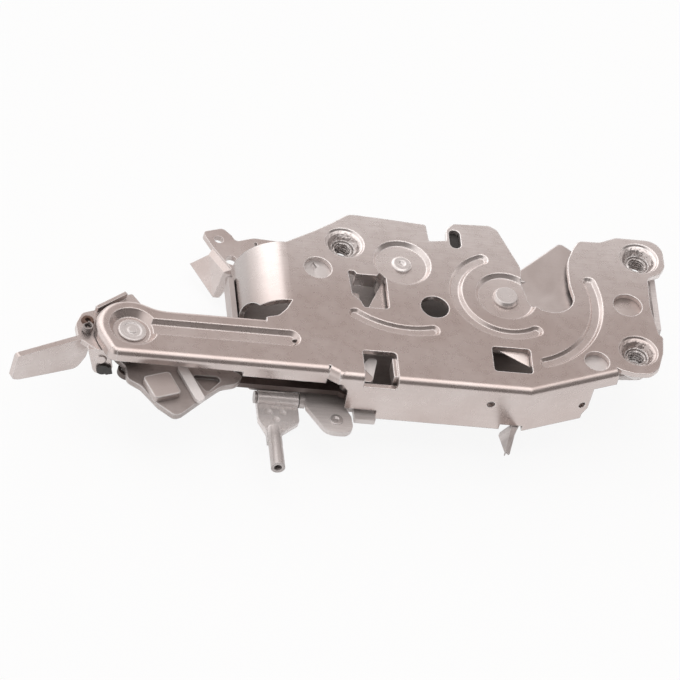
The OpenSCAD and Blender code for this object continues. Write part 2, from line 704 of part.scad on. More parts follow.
module detent_spring() {
    r = detent_pin_r + detent_foot + coil_gap + detent_wire / 2;
    low = back_z + 0.1 + detent_wire / 2;
    high = fork_low - layer_gap - 0.2 - detent_wire / 2;
    path = coil(detent_c, r, low, high, 4, 200);
    color("dimgray") wire(concat([path[0] + [3.4, -9, 0]], path), detent_wire / 2);
}

module lock_spring() {
    r = stud_r + 0.15 + lock_wire / 2;
    high = link_top - lock_wire / 2 - 0.1;
    low = lock_top + lock_wire / 2 + layer_gap;
    path = coil(stud_c, r, low, high, 1, 300);
    color("dimgray")
        wire(concat([path[0] + [-4, -2.2, 0]], path, [path[len(path) - 1] + [5, 2.7, 0]]), lock_wire / 2);
}

// Fork bolt, drawn open: the channel for the striker points along this direction
channel_dir = 43.3;
seat_off = norm(fork_c);
seat_dir = bearing(-fork_c) + fork_travel;
channel_low = 7;
channel_high = 17.8;

module fork_outline() {
    u = [cos(channel_dir), sin(channel_dir)];
    n = [-sin(channel_dir), cos(channel_dir)];
    low_tip = u * sqrt(tooth_r * tooth_r - channel_low * channel_low) + n * channel_low;
    high_tip = u * sqrt(upper_r * upper_r - channel_high * channel_high) + n * channel_high;
    low_a = bearing(low_tip);
    high_a = bearing(high_tip);
    seat = seat_off * [cos(seat_dir), sin(seat_dir)];
    seat_u = seat * u;
    polygon(rounded(concat(
        [[25 * cos(-25), 25 * sin(-25), 3]],
        arc([0, 0], 25, -20, 2, 4),
        [[25 * cos(7), 25 * sin(7), 3], [tooth_r * cos(8), tooth_r * sin(8), 2.5]],
        arc([0, 0], tooth_r, 12, low_a - 4, 8),
        [[low_tip[0], low_tip[1], 2], flat3(u * (seat_u + 4) + n * channel_low, 1),
            flat3(u * (seat_u - 3) + n * (channel_low + 2), 0),
            flat3(u * (seat_u - 3) + n * channel_high, 0),
            [high_tip[0], high_tip[1], 2.2]],
        arc([0, 0], upper_r, high_a + 6, 119, 5),
        [[upper_r * cos(125), upper_r * sin(125), 2.4], [ratchet_r * cos(128), ratchet_r * sin(128), 2.5]],
        arc([0, 0], ratchet_r, 136, 206, 12),
        notch(208),
        arc([0, 0], ratchet_r, 225, 229, 1),
        notch(230),
        arc([0, 0], ratchet_r, 248, 326, 12),
        [[ratchet_r * cos(331), ratchet_r * sin(331), 3]])));
}

function flat3(p, r) = [p[0], p[1], r];

// A notch in the rim: a radial face, then a ramp back to the rim
function notch(a) = [
    [ratchet_r * cos(a), ratchet_r * sin(a), 0.5],
    [(ratchet_r - notch_d) * cos(a + 1), (ratchet_r - notch_d) * sin(a + 1), 0.6],
    [(ratchet_r - 0.4) * cos(a + 14), (ratchet_r - 0.4) * sin(a + 14), 0]];

module fork_bolt() {
    color("gainsboro") at(fork_c) difference() {
        sheet(fork_top, fork_t) difference() {
            fork_outline();
            translate(seat_off * [cos(seat_dir), sin(seat_dir)]) circle(r = seat_r);
            circle(r = fork_pin_r + pin_gap);
        }
        translate([0, 0, fork_low - over]) cylinder(h = 1 + over, r = 9.6);
    }
}

// Detent: the pawl that holds the rim, and the tail that releases it
module detent_pawl() {
    d = detent_c;
    nose_r = ratchet_r + layer_gap;
    color("gainsboro") sheet(tail_low, fork_t - lever_t) difference() {
        polygon(rounded([[d[0], d[1] + detent_hub_r, 0], [d[0] + 12, d[1] + 4, 6],
            [d[0] + 18, d[1] + 1.2, 2], [d[0] + 21.4, d[1] - 1, 0.8], [d[0] + 20, d[1] - 6.4, 1],
            [d[0] + 14, d[1] - 5.8, 3], [d[0] + 6, d[1] - 5.8, 4], [d[0], d[1] - detent_hub_r, 0],
            [d[0] - 5, d[1] - 5, 0], [d[0] - detent_hub_r, d[1], 0], [d[0] - 5, d[1] + 5, 0]]));
        translate(fork_c) circle(r = nose_r);
        translate(d) circle(r = detent_pin_r + pin_gap);
    }
}

link_y = stud_c[1] + link_arm;
tail_pin = [-66, link_y];

module detent_tail() {
    way = tail_pin - detent_c;
    reach = norm(way);
    color("silver") sheet(fork_top, lever_t) at(detent_c) rotate(bearing(way)) difference() {
        union() {
            circle(r = detent_hub_r);
            translate([0, -tail_w]) square([reach, 2 * tail_w]);
            slot2d([reach - 2, 0], [reach + 0.6, 0], pin_r + 2.5);
        }
        slot2d([reach - 2, 0], [reach + 0.6, 0], pin_r + slot_gap);
        circle(r = detent_pin_r + pin_gap);
    }
}

// Inside release lever, round the stud of the arm
lever_plate = [[0.8, -8, 4], [7.8, 0.6, 5], [4.8, 15.6, 2], [2.2, 19.8, 0.6], [-0.6, 19, 0.6],
    [-11.9, 10.6, 3], [-16.4, 8.8, 3], [-19, 3.4, 3], [-18.6, -2.9, 2], [-12.4, -8, 0.5]];
blade_dir = 205.2;
blade_root = [-18.1, -2.9];
ear_left = -15.4;
ear_w = 7;
ear_tilt = 20;

module inside_lever() {
    z = pull_top - lever_t;
    color("silver") at(stud_c) difference() {
        union() {
            sheet(pull_top, lever_t) polygon(rounded(lever_plate));
            lip();
            blade();
            ear();
            rod([0, link_arm], pin_r, link_low, z + 0.01);
        }
        rod([0, 0], stud_r + pin_gap, z - over, over);
        rod(bush_at, bush_r + neck_gap, z - over, over);
    }
}

// Low lip turned up along the outer edge of the lever
module lip() {
    a = [-11.9, 10.4];
    b = [-0.9, 18.5];
    lip_t = 1.3;
    translate([a[0], a[1], pull_low + 0.3]) rotate([0, 0, bearing(b - a)]) translate([0, -lip_t, 0])
        linear_extrude(height = lever_t + 2.1) square([norm(b - a), lip_t]);
}

// Blade that stands on edge
module blade() {
    translate([blade_root[0], blade_root[1], pull_top]) rotate([0, 0, blade_dir])
        rotate([90, 0, 0]) translate([0, 0, -lever_t / 2]) linear_extrude(height = lever_t)
            polygon(rounded([[-4.5, 0, 0], [blade_len, 0, 1.2], [blade_len, -blade_d + 4, 1.6],
                [blade_len - 3, -blade_d + 2.6, 4], [-1.6, -blade_d, 3], [-4.2, -blade_d + 5, 2],
                [-4.5, -lever_t - 1, 0.5]]));
}

// Ear for the pull rod, folded down at the near edge
module ear() {
    tip = ear_len - ear_w / 2;
    half = ear_w / 2;
    rise = half * tan(ear_tilt);
    boss = 4.8;
    at_ear() difference() {
        union() {
            linear_extrude(height = lever_t) {
                polygon([[-half, -tip], [half, -tip], [half, -rise - 0.2], [-half, rise - 0.2]]);
                translate([0, -tip]) circle(r = half);
            }
            translate([0, -boss, lever_t - 0.1]) cylinder(h = 0.7, r1 = 2.3, r2 = 1.7);
        }
        translate([0, -boss, -over]) cylinder(h = over + 0.5, r1 = 2.6, r2 = 1.6);
        translate([0, -tip - 0.6, -over]) cylinder(h = lever_t + 2 * over, r = 1.2);
    }
}

// The frame of the ear: its origin at the middle of the fold, X across it, Y up and Z to the front
module at_ear() {
    translate([ear_left + ear_w / 2, -8 + lever_t, pull_top]) rotate([90, 0, 0]) rotate([0, 0, ear_tilt])
        children();
}

bush_r = 2;
bush_flange = 0.3;
bush_at = (arm_end_r + layer_gap + bush_r + bush_flange) * [cos(161), sin(161)];

module rod_bush() {
    color("saddlebrown") at(stud_c + bush_at) rotate_extrude() polygon([
        [1, pull_low - 0.8], [bush_r + 0.6, pull_low - 0.8], [bush_r + 0.6, pull_low],
        [bush_r, pull_low], [bush_r, pull_top], [bush_r + bush_flange, pull_top],
        [bush_r, pull_top + 0.8], [1, pull_top + 0.8]]);
}

// Clip that closes on the pull rod at the foot of the ear
module rod_clip() {
    tip = ear_len - ear_w / 2;
    color("darkslategray") at(stud_c) at_ear() translate([0, -tip - 0.6, 0]) {
        cylinder(h = lever_t + 0.1, r = 1.2 - neck_gap);
        translate([0, 0, lever_t]) linear_extrude(height = 1) {
            circle(r = 2.2);
            translate([0.6, -2.6]) square([2.4, 3.4]);
        }
    }
}

module return_spring() {
    low = pull_top + 0.5;
    path = coil(stud_c + bush_at + [-0.6, -4.6], 1.5, low, low + 2.4, 3, 90);
    color("gray") wire(path, 0.4, 6);
}

// Link from the inside lever to the tail of the detent
module remote_link() {
    left = stud_c[0];
    color("silver") sheet(link_top, lever_t) difference() {
        slot2d([left, link_y], [tail_pin[0], link_y], 4);
        slot2d([left, link_y], [left, link_y - 0.9], pin_r + slot_gap);
        translate(tail_pin) circle(r = pin_r - 0.4 + neck_gap);
    }
}

module link_pin() {
    color("gray") {
        rod(tail_pin, pin_r, link_top, fork_top - 0.4);
        rod(tail_pin, pin_r - 0.4, link_low, link_top + 0.01);
    }
}

// Lock lever, with the pin that moves the lock bar
lock_plate = [[-7, 0, 0], [-4.4, -6, 4], [-1.4, -9.4, 2], [-1.2, -15.4, 3], [3.4, -18.4, 3],
    [9, -26.4, 4], [14.4, -31, 3], [17, -29.6, 2], [26.1, -20.7, 3], [31.9, -15.4, 5], [37.3, -13.7, 4],
    [40.2, -9.6, 1.5], [36, -7, 2], [14, -4, 4], [7.4, 1, 0], [5, 5.6, 0], [0, 7.6, 0], [-5, 5.6, 0]];
lock_hollow = [[22, -11, 0.8], [26.6, -19, 1.2], [33.4, -11, 1.5]];

module lock_lever() {
    color("silver") at(stud_c) {
        difference() {
            sheet(lock_top, lever_t) difference() {
                polygon(rounded(lock_plate));
                circle(r = stud_r + pin_gap);
            }
            sheet(lock_top + over, over + 1.4) polygon(rounded(lock_hollow));
        }
        rod([0, -lock_arm], pin_r, bar_low, lock_low + 0.01);
    }
}

module slide_block() {
    half = block_w / 2;
    color("gray") at(stud_c + [10.3, -19.1]) rotate([0, 0, 21]) {
        sheet(lock_top + block_h, block_h)
            polygon(rounded([[-half, -half, 1.2], [half, -half, 1.2], [half, half, 1.2],
                [-half, half, 1.2]]));
    }
}

module lock_strap() {
    color("white") at(stud_c) sheet(lock_top + 1.4, 1.4) slot2d([18.6, -9.8], [23.4, -22.4], 1.8);
}

module lock_bar() {
    y = stud_c[1] - lock_arm;
    color("silver") sheet(bar_top, lever_t) difference() {
        union() {
            slot2d([stud_c[0], y], [finger_c[0], y], 2.1);
            translate([stud_c[0], y]) circle(r = pin_r + 1.4);
            translate([finger_c[0], y]) circle(r = pin_r + 1.4);
        }
        translate([stud_c[0], y]) circle(r = pin_r + slot_gap + 0.05);
        translate([finger_c[0], y]) circle(r = pin_r + slot_gap + 0.05);
    }
}

module finger_lever() {
    tip_y = face_t + 0.7 - skirt_y - finger_c[1];
    color("silver") at(finger_c) {
        sheet(finger_top, lever_t) difference() {
            polygon(rounded([[-3.4, -finger_arm - 3.4, 3], [2, tip_y + 0.2, 2],
                [7.2, tip_y, 1.1], [8, tip_y + 2.4, 1.1], [4.6, -finger_arm + 2.6, 3], [5.4, 0, 5],
                [0, 5.6, 5], [-5.4, 0, 5]]));
            circle(r = post_r + pin_gap);
        }
        rod([0, -finger_arm], pin_r, bar_low, finger_low + 0.01);
    }
}

// Outside handle lever, behind the back plate
outside_plate = [[6.5, 0, 0], [5.6, 3.3, 0], [3.3, 5.6, 0], [0, 6.5, 0], [-12, 8.5, 10], [-31.6, 12.6, 12],
    [-42.5, 13.4, 6], [-49.1, 11, 3], [-50.3, 13.7, 2], [-53.2, 16.9, 2], [-60.8, 14.4, 1.5],
    [-57.7, 7.7, 0], [-51.7, -2.4, 0], [-45, -3.6, 3], [-24, -4.4, 8], [-13, -10, 5], [-14.6, -28.2, 1],
    [-9.6, -28.2, 1], [-4.6, -5, 4], [0, -6.5, 0], [3.3, -5.6, 0], [5.6, -3.3, 0]];

module outside_lever() {
    color("silver") at(outside_c) {
        sheet(outside_top, lever_t) difference() {
            polygon(rounded(outside_plate));
            circle(r = post_r + pin_gap);
            circle_at([-55.1, 11.3], 1.6);
            circle_at([-51.3, 1.8], 2.1);
            slot2d([-42, 5.6], [-42, 11], 0.5);
        }
        hook();
        translate([-14.2, -26.2, outside_low]) cube([2.8, 3, finger_low - outside_low + 1.6]);
    }
}

// Splayed hook below the handle lever: a bend along the plate's edge, then two facets that meet at a crease
module hook() {
    edge = [[-57.44, 7.5, -0.5], [-51.55, -2.25, -0.5], [-48.6, -2.7, -0.5]];
    bend = [[-58.9, 5.3, -1.8], [-54.2, -2.6, -1.8], [-49.6, -3.9, -1.8]];
    low = [[-64.5, 5.4, -7.2], [-56.2, -5.5, -11.7], [-54.4, -5.9, -11.3]];
    under = [0, 0, -1.4];
    behind = [0.8, 1.2, -1.1];
    front = concat(edge, bend, low);
    n = len(front);
    skin = [[0, 3, 4], [0, 4, 1], [1, 4, 5], [1, 5, 2], [3, 6, 7], [3, 7, 4], [4, 7, 8], [4, 8, 5]];
    rim = [0, 1, 2, 5, 8, 7, 6, 3];
    translate([0, 0, outside_top]) polyhedron(
        points = concat(front, [for (p = edge) p + under], [for (p = concat(bend, low)) p + behind]),
        faces = concat([for (f = skin) [f[2], f[1], f[0]]], [for (f = skin) [for (i = f) i + n]],
            [for (i = [0 : len(rim) - 1])
                let (a = rim[i], b = rim[(i + 1) % len(rim)])
                each [[a, b, b + n], [a, b + n, a + n]]]));
}

// Key lever: a barrel on the hinge pin, a flat with three stamped dimples, and a rolled tube
module key_lever() {
    half = key_w / 2;
    color("silver") translate(key_c) difference() {
        union() {
            translate([-half, 0, 0]) rotate([0, 90, 0]) cylinder(h = key_w, r = barrel_r);
            translate([0, 0, -barrel_r]) linear_extrude(height = key_t) polygon(rounded([
                [-half, 0, 0], [-half, -9.6, 2], [-4.8, -15.4, 3], [-4.8, -20, 0], [0.4, -20, 0],
                [0.4, -15.4, 3], [half, -9.6, 2], [half, 0, 0]]));
            translate([-2.2, -13.5, key_t - 0.1 - barrel_r]) rotate([90, 0, 0])
                cylinder(h = key_len - 13.5, r = tube_r);
        }
        translate([-half - over, 0, 0]) rotate([0, 90, 0])
            cylinder(h = key_w + 2 * over, r = key_pin_r + pin_gap);
        translate([-2.2, -16, key_t - 0.1 - barrel_r]) rotate([90, 0, 0])
            cylinder(h = key_len, r = tube_r - 1.1);
        for (p = [[-3.4, -5.8], [1.6, -5.6], [-1, -9.2]])
            translate([p[0], p[1], key_t - barrel_r - 0.7]) cylinder(h = 0.7 + over, r1 = 0.6, r2 = 2.4);
    }
}

frame_plate();
back_plate();
anchor_nuts();
spacer_posts();
fork_rivet();
detent_rivet();
arm_stud();
ear_rivet();
key_pin();
outside_pivot();
finger_post();
fork_bumper();
fork_spring();
detent_spring();
lock_spring();
fork_bolt();
detent_pawl();
detent_tail();
inside_lever();
rod_bush();
rod_clip();
return_spring();
remote_link();
link_pin();
lock_lever();
slide_block();
lock_strap();
lock_bar();
finger_lever();
outside_lever();
key_lever();
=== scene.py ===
"""Looks of a car door latch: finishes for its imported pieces, and fine forms that the solids leave out."""

import json
import logging
import math
from dataclasses import dataclass
from enum import Enum
from typing import Any, Dict, Sequence, Tuple, Union

import bmesh
import bpy
from mathutils import Matrix, Vector


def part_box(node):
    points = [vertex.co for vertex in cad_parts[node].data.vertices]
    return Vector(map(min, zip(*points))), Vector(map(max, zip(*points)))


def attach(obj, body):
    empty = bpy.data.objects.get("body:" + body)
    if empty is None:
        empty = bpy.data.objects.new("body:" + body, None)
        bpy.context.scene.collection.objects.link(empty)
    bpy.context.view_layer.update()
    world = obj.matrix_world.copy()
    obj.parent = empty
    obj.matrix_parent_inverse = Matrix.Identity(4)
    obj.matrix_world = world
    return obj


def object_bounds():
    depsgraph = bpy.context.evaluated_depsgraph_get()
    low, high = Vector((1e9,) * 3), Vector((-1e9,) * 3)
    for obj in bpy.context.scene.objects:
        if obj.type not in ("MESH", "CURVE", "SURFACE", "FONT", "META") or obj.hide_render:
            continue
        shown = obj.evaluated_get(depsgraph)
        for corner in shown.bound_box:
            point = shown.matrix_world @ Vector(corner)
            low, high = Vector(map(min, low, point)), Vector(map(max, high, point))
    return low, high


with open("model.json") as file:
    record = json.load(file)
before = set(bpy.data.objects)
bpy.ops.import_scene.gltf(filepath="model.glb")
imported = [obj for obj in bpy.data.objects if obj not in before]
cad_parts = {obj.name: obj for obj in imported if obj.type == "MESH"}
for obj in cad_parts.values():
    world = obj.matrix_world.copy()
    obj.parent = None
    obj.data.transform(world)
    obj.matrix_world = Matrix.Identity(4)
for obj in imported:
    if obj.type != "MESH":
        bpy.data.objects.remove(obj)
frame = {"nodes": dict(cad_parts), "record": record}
CAD_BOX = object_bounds()

LOG = logging.getLogger("door_latch")
MM = 0.001
MERGE_MM = 0.002
# An edge between faces that turn more than this stays sharp.
SHARP_TURN = math.radians(38.0)
# A warm grey loses this part of what its blue loses from its green.
GREEN_SHARE = 0.75
# A face whose normal rises less than this counts as a wall.
WALL_RISE = 0.5
RIM_STEPS = 3
CORNER_STEPS = 4
SCREW_MOUNTS = [mount for mount in frame["record"]["mounts"] if mount["kind"] == "threaded_hole"]

Colour = Tuple[float, float, float, float]
Point = Tuple[float, float, float]
Spot = Tuple[float, float]
Stretch = Tuple[str, float, float]
Output = bpy.types.NodeSocket
Value = Union[Output, float, Point, Colour]


def grey(level: float, warmth: float = 0.0) -> Colour:
    """Makes a linear grey that leans to a pinkish brown.

    Args:
        level: brightness of the red channel; only the room's tones go above 1.
        warmth: share that blue loses; green loses a part of it.

    Returns:
        The colour with full opacity.
    """
    return (level, level * (1.0 - GREEN_SHARE * warmth), level * (1.0 - warmth), 1.0)


class WearAndHighlight(Enum):
    """How far the edges of a piece brighten, partly where the plating is worn and partly as painted
    highlight.
    """

    NONE = 0.0
    LIGHT = 0.45
    STRONG = 0.9


class Detail(Enum):
    """How many finer layers a noise has."""

    PLAIN = 2.0
    CLOUDY = 3.0
    FINE = 4.0


class Graph:
    """A thin layer over a node tree, so that a finish reads as a list of steps."""

    # The Mix node has a pair of inputs and an output for each kind of data; these are the ones for colours.
    COLOUR_INPUTS = (6, 7)
    COLOUR_OUTPUT = 2

    def __init__(self, tree: bpy.types.NodeTree) -> None:
        """Takes over a node tree.

        Args:
            tree: the tree to fill; what it holds is removed.
        """
        self.tree = tree
        tree.nodes.clear()

    def add(self, kind: str, **settings: object) -> bpy.types.Node:
        """Adds one node.

        Args:
            kind: the node's type, without the words ShaderNode.
            settings: attributes of the node.

        Returns:
            The new node.
        """
        node = self.tree.nodes.new("ShaderNode" + kind)
        for name, value in settings.items():
            setattr(node, name, value)
        return node

    def feed(self, node: bpy.types.Node, socket: Union[str, int], value: Value) -> None:
        """Links an output to a node's input, or writes a plain value there.

        Args:
            node: the node that takes the value.
            socket: the name or the index of its input.
            value: another node's output, a number, a vector or a colour.
        """
        if isinstance(value, Output):
            self.tree.links.new(value, node.inputs[socket])
        else:
            node.inputs[socket].default_value = value

    def place(self, scale: Point = (1.0, 1.0, 1.0)) -> Output:
        """Object coordinates, stretched.

        Args:
            scale: the factor along each axis.

        Returns:
            The vector output.
        """
        mapping = self.add("Mapping")
        self.feed(mapping, "Vector", self.add("TexCoord").outputs["Object"])
        self.feed(mapping, "Scale", scale)
        return mapping.outputs["Vector"]

    def along(self, axis: str, low_mm: float, high_mm: float) -> Output:
        """A factor that rises from 0 to 1 between two places along an axis of the object.

        Args:
            axis: X, Y or Z.
            low_mm: where it is 0.
            high_mm: where it is 1.

        Returns:
            The factor.
        """
        split = self.add("SeparateXYZ")
        self.feed(split, 0, self.add("TexCoord").outputs["Object"])
        return self.ramp(split.outputs[axis], low_mm * MM, high_mm * MM)

    def within(self, stretches: Sequence[Stretch]) -> Output:
        """A factor that is 1 only where every one of some stretches along the axes is.

        Args:
            stretches: an axis, where its factor is 0 and where it is 1, for each.

        Returns:
            The product of their factors.
        """
        total = self.along(*stretches[0])
        for stretch in stretches[1:]:
            total = self.times(total, self.along(*stretch))
        return total

    def near(self, spots: Sequence[Point], full_mm: float, none_mm: float) -> Output:
        """A factor that is 1 close to any of some upright lines, and 0 away from them.

        Args:
            spots: where the lines stand, in metres.
            full_mm: the distance up to which it is 1.
            none_mm: the distance from which it is 0.

        Returns:
            The factor.
        """
        level = self.add("VectorMath", operation="MULTIPLY")
        self.feed(level, 0, self.add("TexCoord").outputs["Object"])
        self.feed(level, 1, (1.0, 1.0, 0.0))
        total: Value = 0.0
        for spot in spots:
            gap = self.add("VectorMath", operation="DISTANCE")
            self.feed(gap, 0, level.outputs[0])
            self.feed(gap, 1, (spot[0], spot[1], 0.0))
            close = self.ramp(gap.outputs["Value"], full_mm * MM, none_mm * MM, 1.0, 0.0)
            total = self.maths("ADD", close, total)
        return total

    def noise(self, vector: Output, size_mm: float, detail: Detail) -> Output:
        """Soft noise.

        Args:
            vector: where it is read.
            size_mm: the size of its spots in millimetres.
            detail: how many finer layers it has.

        Returns:
            A factor from 0 to 1.
        """
        noise = self.add("TexNoise")
        self.feed(noise, "Vector", vector)
        self.feed(noise, "Scale", 1.0 / (size_mm * MM))
        self.feed(noise, "Detail", detail.value)
        return noise.outputs["Fac"]

    def ramp(self, factor: Output, low: float, high: float, start: float = 0.0, end: float = 1.0) -> Output:
        """Maps a stretch of a factor to another, and holds it outside.

        Args:
            factor: the factor to map.
            low: where the stretch begins.
            high: where it ends.
            start: the result at low.
            end: the result at high.

        Returns:
            The mapped factor.
        """
        node = self.add("MapRange", clamp=True)
        self.feed(node, "Value", factor)
        self.feed(node, "From Min", low)
        self.feed(node, "From Max", high)
        self.feed(node, "To Min", start)
        self.feed(node, "To Max", end)
        return node.outputs["Result"]

    def maths(self, operation: str, a: Value, b: Value) -> Output:
        """Joins two factors by one operation.

        Args:
            operation: the name of the operation.
            a: the first factor or number.
            b: the second one.

        Returns:
            The result.
        """
        node = self.add("Math", operation=operation)
        self.feed(node, 0, a)
        self.feed(node, 1, b)
        return node.outputs[0]

    def times(self, a: Value, b: Value) -> Output:
        """Multiplies two factors.

        Args:
            a: the first factor.
            b: the second factor or number.

        Returns:
            The product.
        """
        return self.maths("MULTIPLY", a, b)

    def blend(self, factor: Value, a: Value, b: Value) -> Output:
        """Mixes two colours.

        Args:
            factor: the share of the second one.
            a: the first colour.
            b: the second colour.

        Returns:
            The mixed colour.
        """
        node = self.add("Mix", data_type="RGBA")
        self.feed(node, 0, factor)
        for socket, colour in zip(self.COLOUR_INPUTS, (a, b)):
            self.feed(node, socket, colour)
        return node.outputs[self.COLOUR_OUTPUT]

    def tint(self, colour: Output, factor: Output, share: float, tone: Colour) -> Output:
        """Lays a tone over a colour where a factor is high.

        Args:
            colour: the colour below.
            factor: where the tone shows.
            share: how much of the tone shows where the factor is 1.
            tone: the tone.

        Returns:
            The new colour.
        """
        return self.blend(self.times(factor, share), colour, tone)

    def blend_value(self, share: float, a: Value, b: Value) -> Output:
        """Mixes two factors.

        Args:
            share: the share of the second one.
            a: the first factor.
            b: the second one.

        Returns:
            The mixed factor.
        """
        return self.maths("ADD", self.times(a, 1.0 - share), self.times(b, share))

    def rounded(self, radius_mm: float, samples: int) -> Output:
        """Normals that turn softly over the edges of a piece.

        Args:
            radius_mm: how far from an edge they turn.
            samples: how many directions each is taken from.

        Returns:
            The normal.
        """
        node = self.add("Bevel", samples=samples)
        self.feed(node, "Radius", radius_mm * MM)
        return node.outputs["Normal"]

    def bump(self, height: Output, depth_mm: float, strength: float, normal: Output) -> Output:
        """Relief from a height.

        Args:
            height: the height as a factor.
            depth_mm: its full depth in millimetres.
            strength: how much of it shows.
            normal: the normal that it is laid over.

        Returns:
            The new normal.
        """
        node = self.add("Bump")
        self.feed(node, "Height", height)
        self.feed(node, "Distance", depth_mm * MM)
        self.feed(node, "Strength", strength)
        self.feed(node, "Normal", normal)
        return node.outputs["Normal"]


def new_material(name: str, shader: str) -> Tuple[bpy.types.Material, Graph, bpy.types.Node]:
    """Makes a material with one shader linked to its surface.

    Args:
        name: its name.
        shader: the shader node's type, without the words ShaderNode.

    Returns:
        The material, its graph and its shader node.
    """
    material = bpy.data.materials.new(name)
    material.use_nodes = True
    g = Graph(material.node_tree)
    node = g.add(shader)
    g.feed(g.add("OutputMaterial"), "Surface", node.outputs[0])
    return material, g, node


@dataclass(frozen=True)
class ZincSkin:
    """What every zinc finish shares: how large each pattern is, where it begins and how strongly it shows.

    A band is the stretch of a factor over which a pattern comes in, and a tone is the colour that it brings.
    """

    cloud_mm: float = 14.0
    cloud_band: Spot = (0.30, 0.70)
    # Painted light: how far the stretches that are lit paler lean to the pale tone.
    painted_light_fade_share: float = 0.80
    streak_mm: float = 1.1
    streak_stretch: Point = (0.12, 1.6, 1.0)
    streak_band: Spot = (0.35, 0.65)
    streak_share: float = 0.22
    speck_mm: float = 0.5
    speck_band: Spot = (0.50, 0.75)
    speck_share: float = 0.13
    speck_tone: Colour = grey(0.40, 0.20)
    # Painted light: faces sunk just below the face are tinted paler and made less metallic.
    sunk_painted_light_share: float = 0.10
    sunk_painted_light_metal_lost: float = 0.20
    sunk_painted_light_tone: Colour = grey(0.92, 0.07)
    # Painted shade in the screw dimples.
    dimple_shade_share: float = 0.5
    dimple_shade_tone: Colour = grey(0.34, 0.16)
    # Painted shade where a finish is dim.
    dim_shade_share: float = 0.6
    dim_shade_tone: Colour = grey(0.34, 0.14)
    edge_samples: int = 8
    # Edges brighten partly where the plating is worn and partly as painted highlight.
    edge_turned: Spot = (0.995, 0.86)
    edge_patch_mm: float = 3.0
    edge_patch_band: Spot = (0.3, 0.6)
    edge_least: float = 0.6
    edge_worn_highlight_tone: Colour = grey(0.93, 0.03)
    edge_polish: float = 0.08
    # Painted shade in the hollows, read from occlusion: its darkest tone and the roughness it adds.
    hollow_samples: int = 6
    hollow_closed: float = 0.06
    painted_shade_tone: Colour = grey(0.085, 0.32)
    painted_shade_roughness: float = 0.2
    rough_patch_mm: float = 3.1
    rough_patch_band: Spot = (0.25, 0.75)
    rough_below: float = 0.02
    rough_above: float = 0.05
    streak_relief: float = 0.3
    grain_mm: float = 0.45
    grain_depth_mm: float = 0.012
    grain_strength: float = 0.5
    crinkle_mm: float = 2.2
    crinkle_depth_mm: float = 1.1


SKIN = ZincSkin()


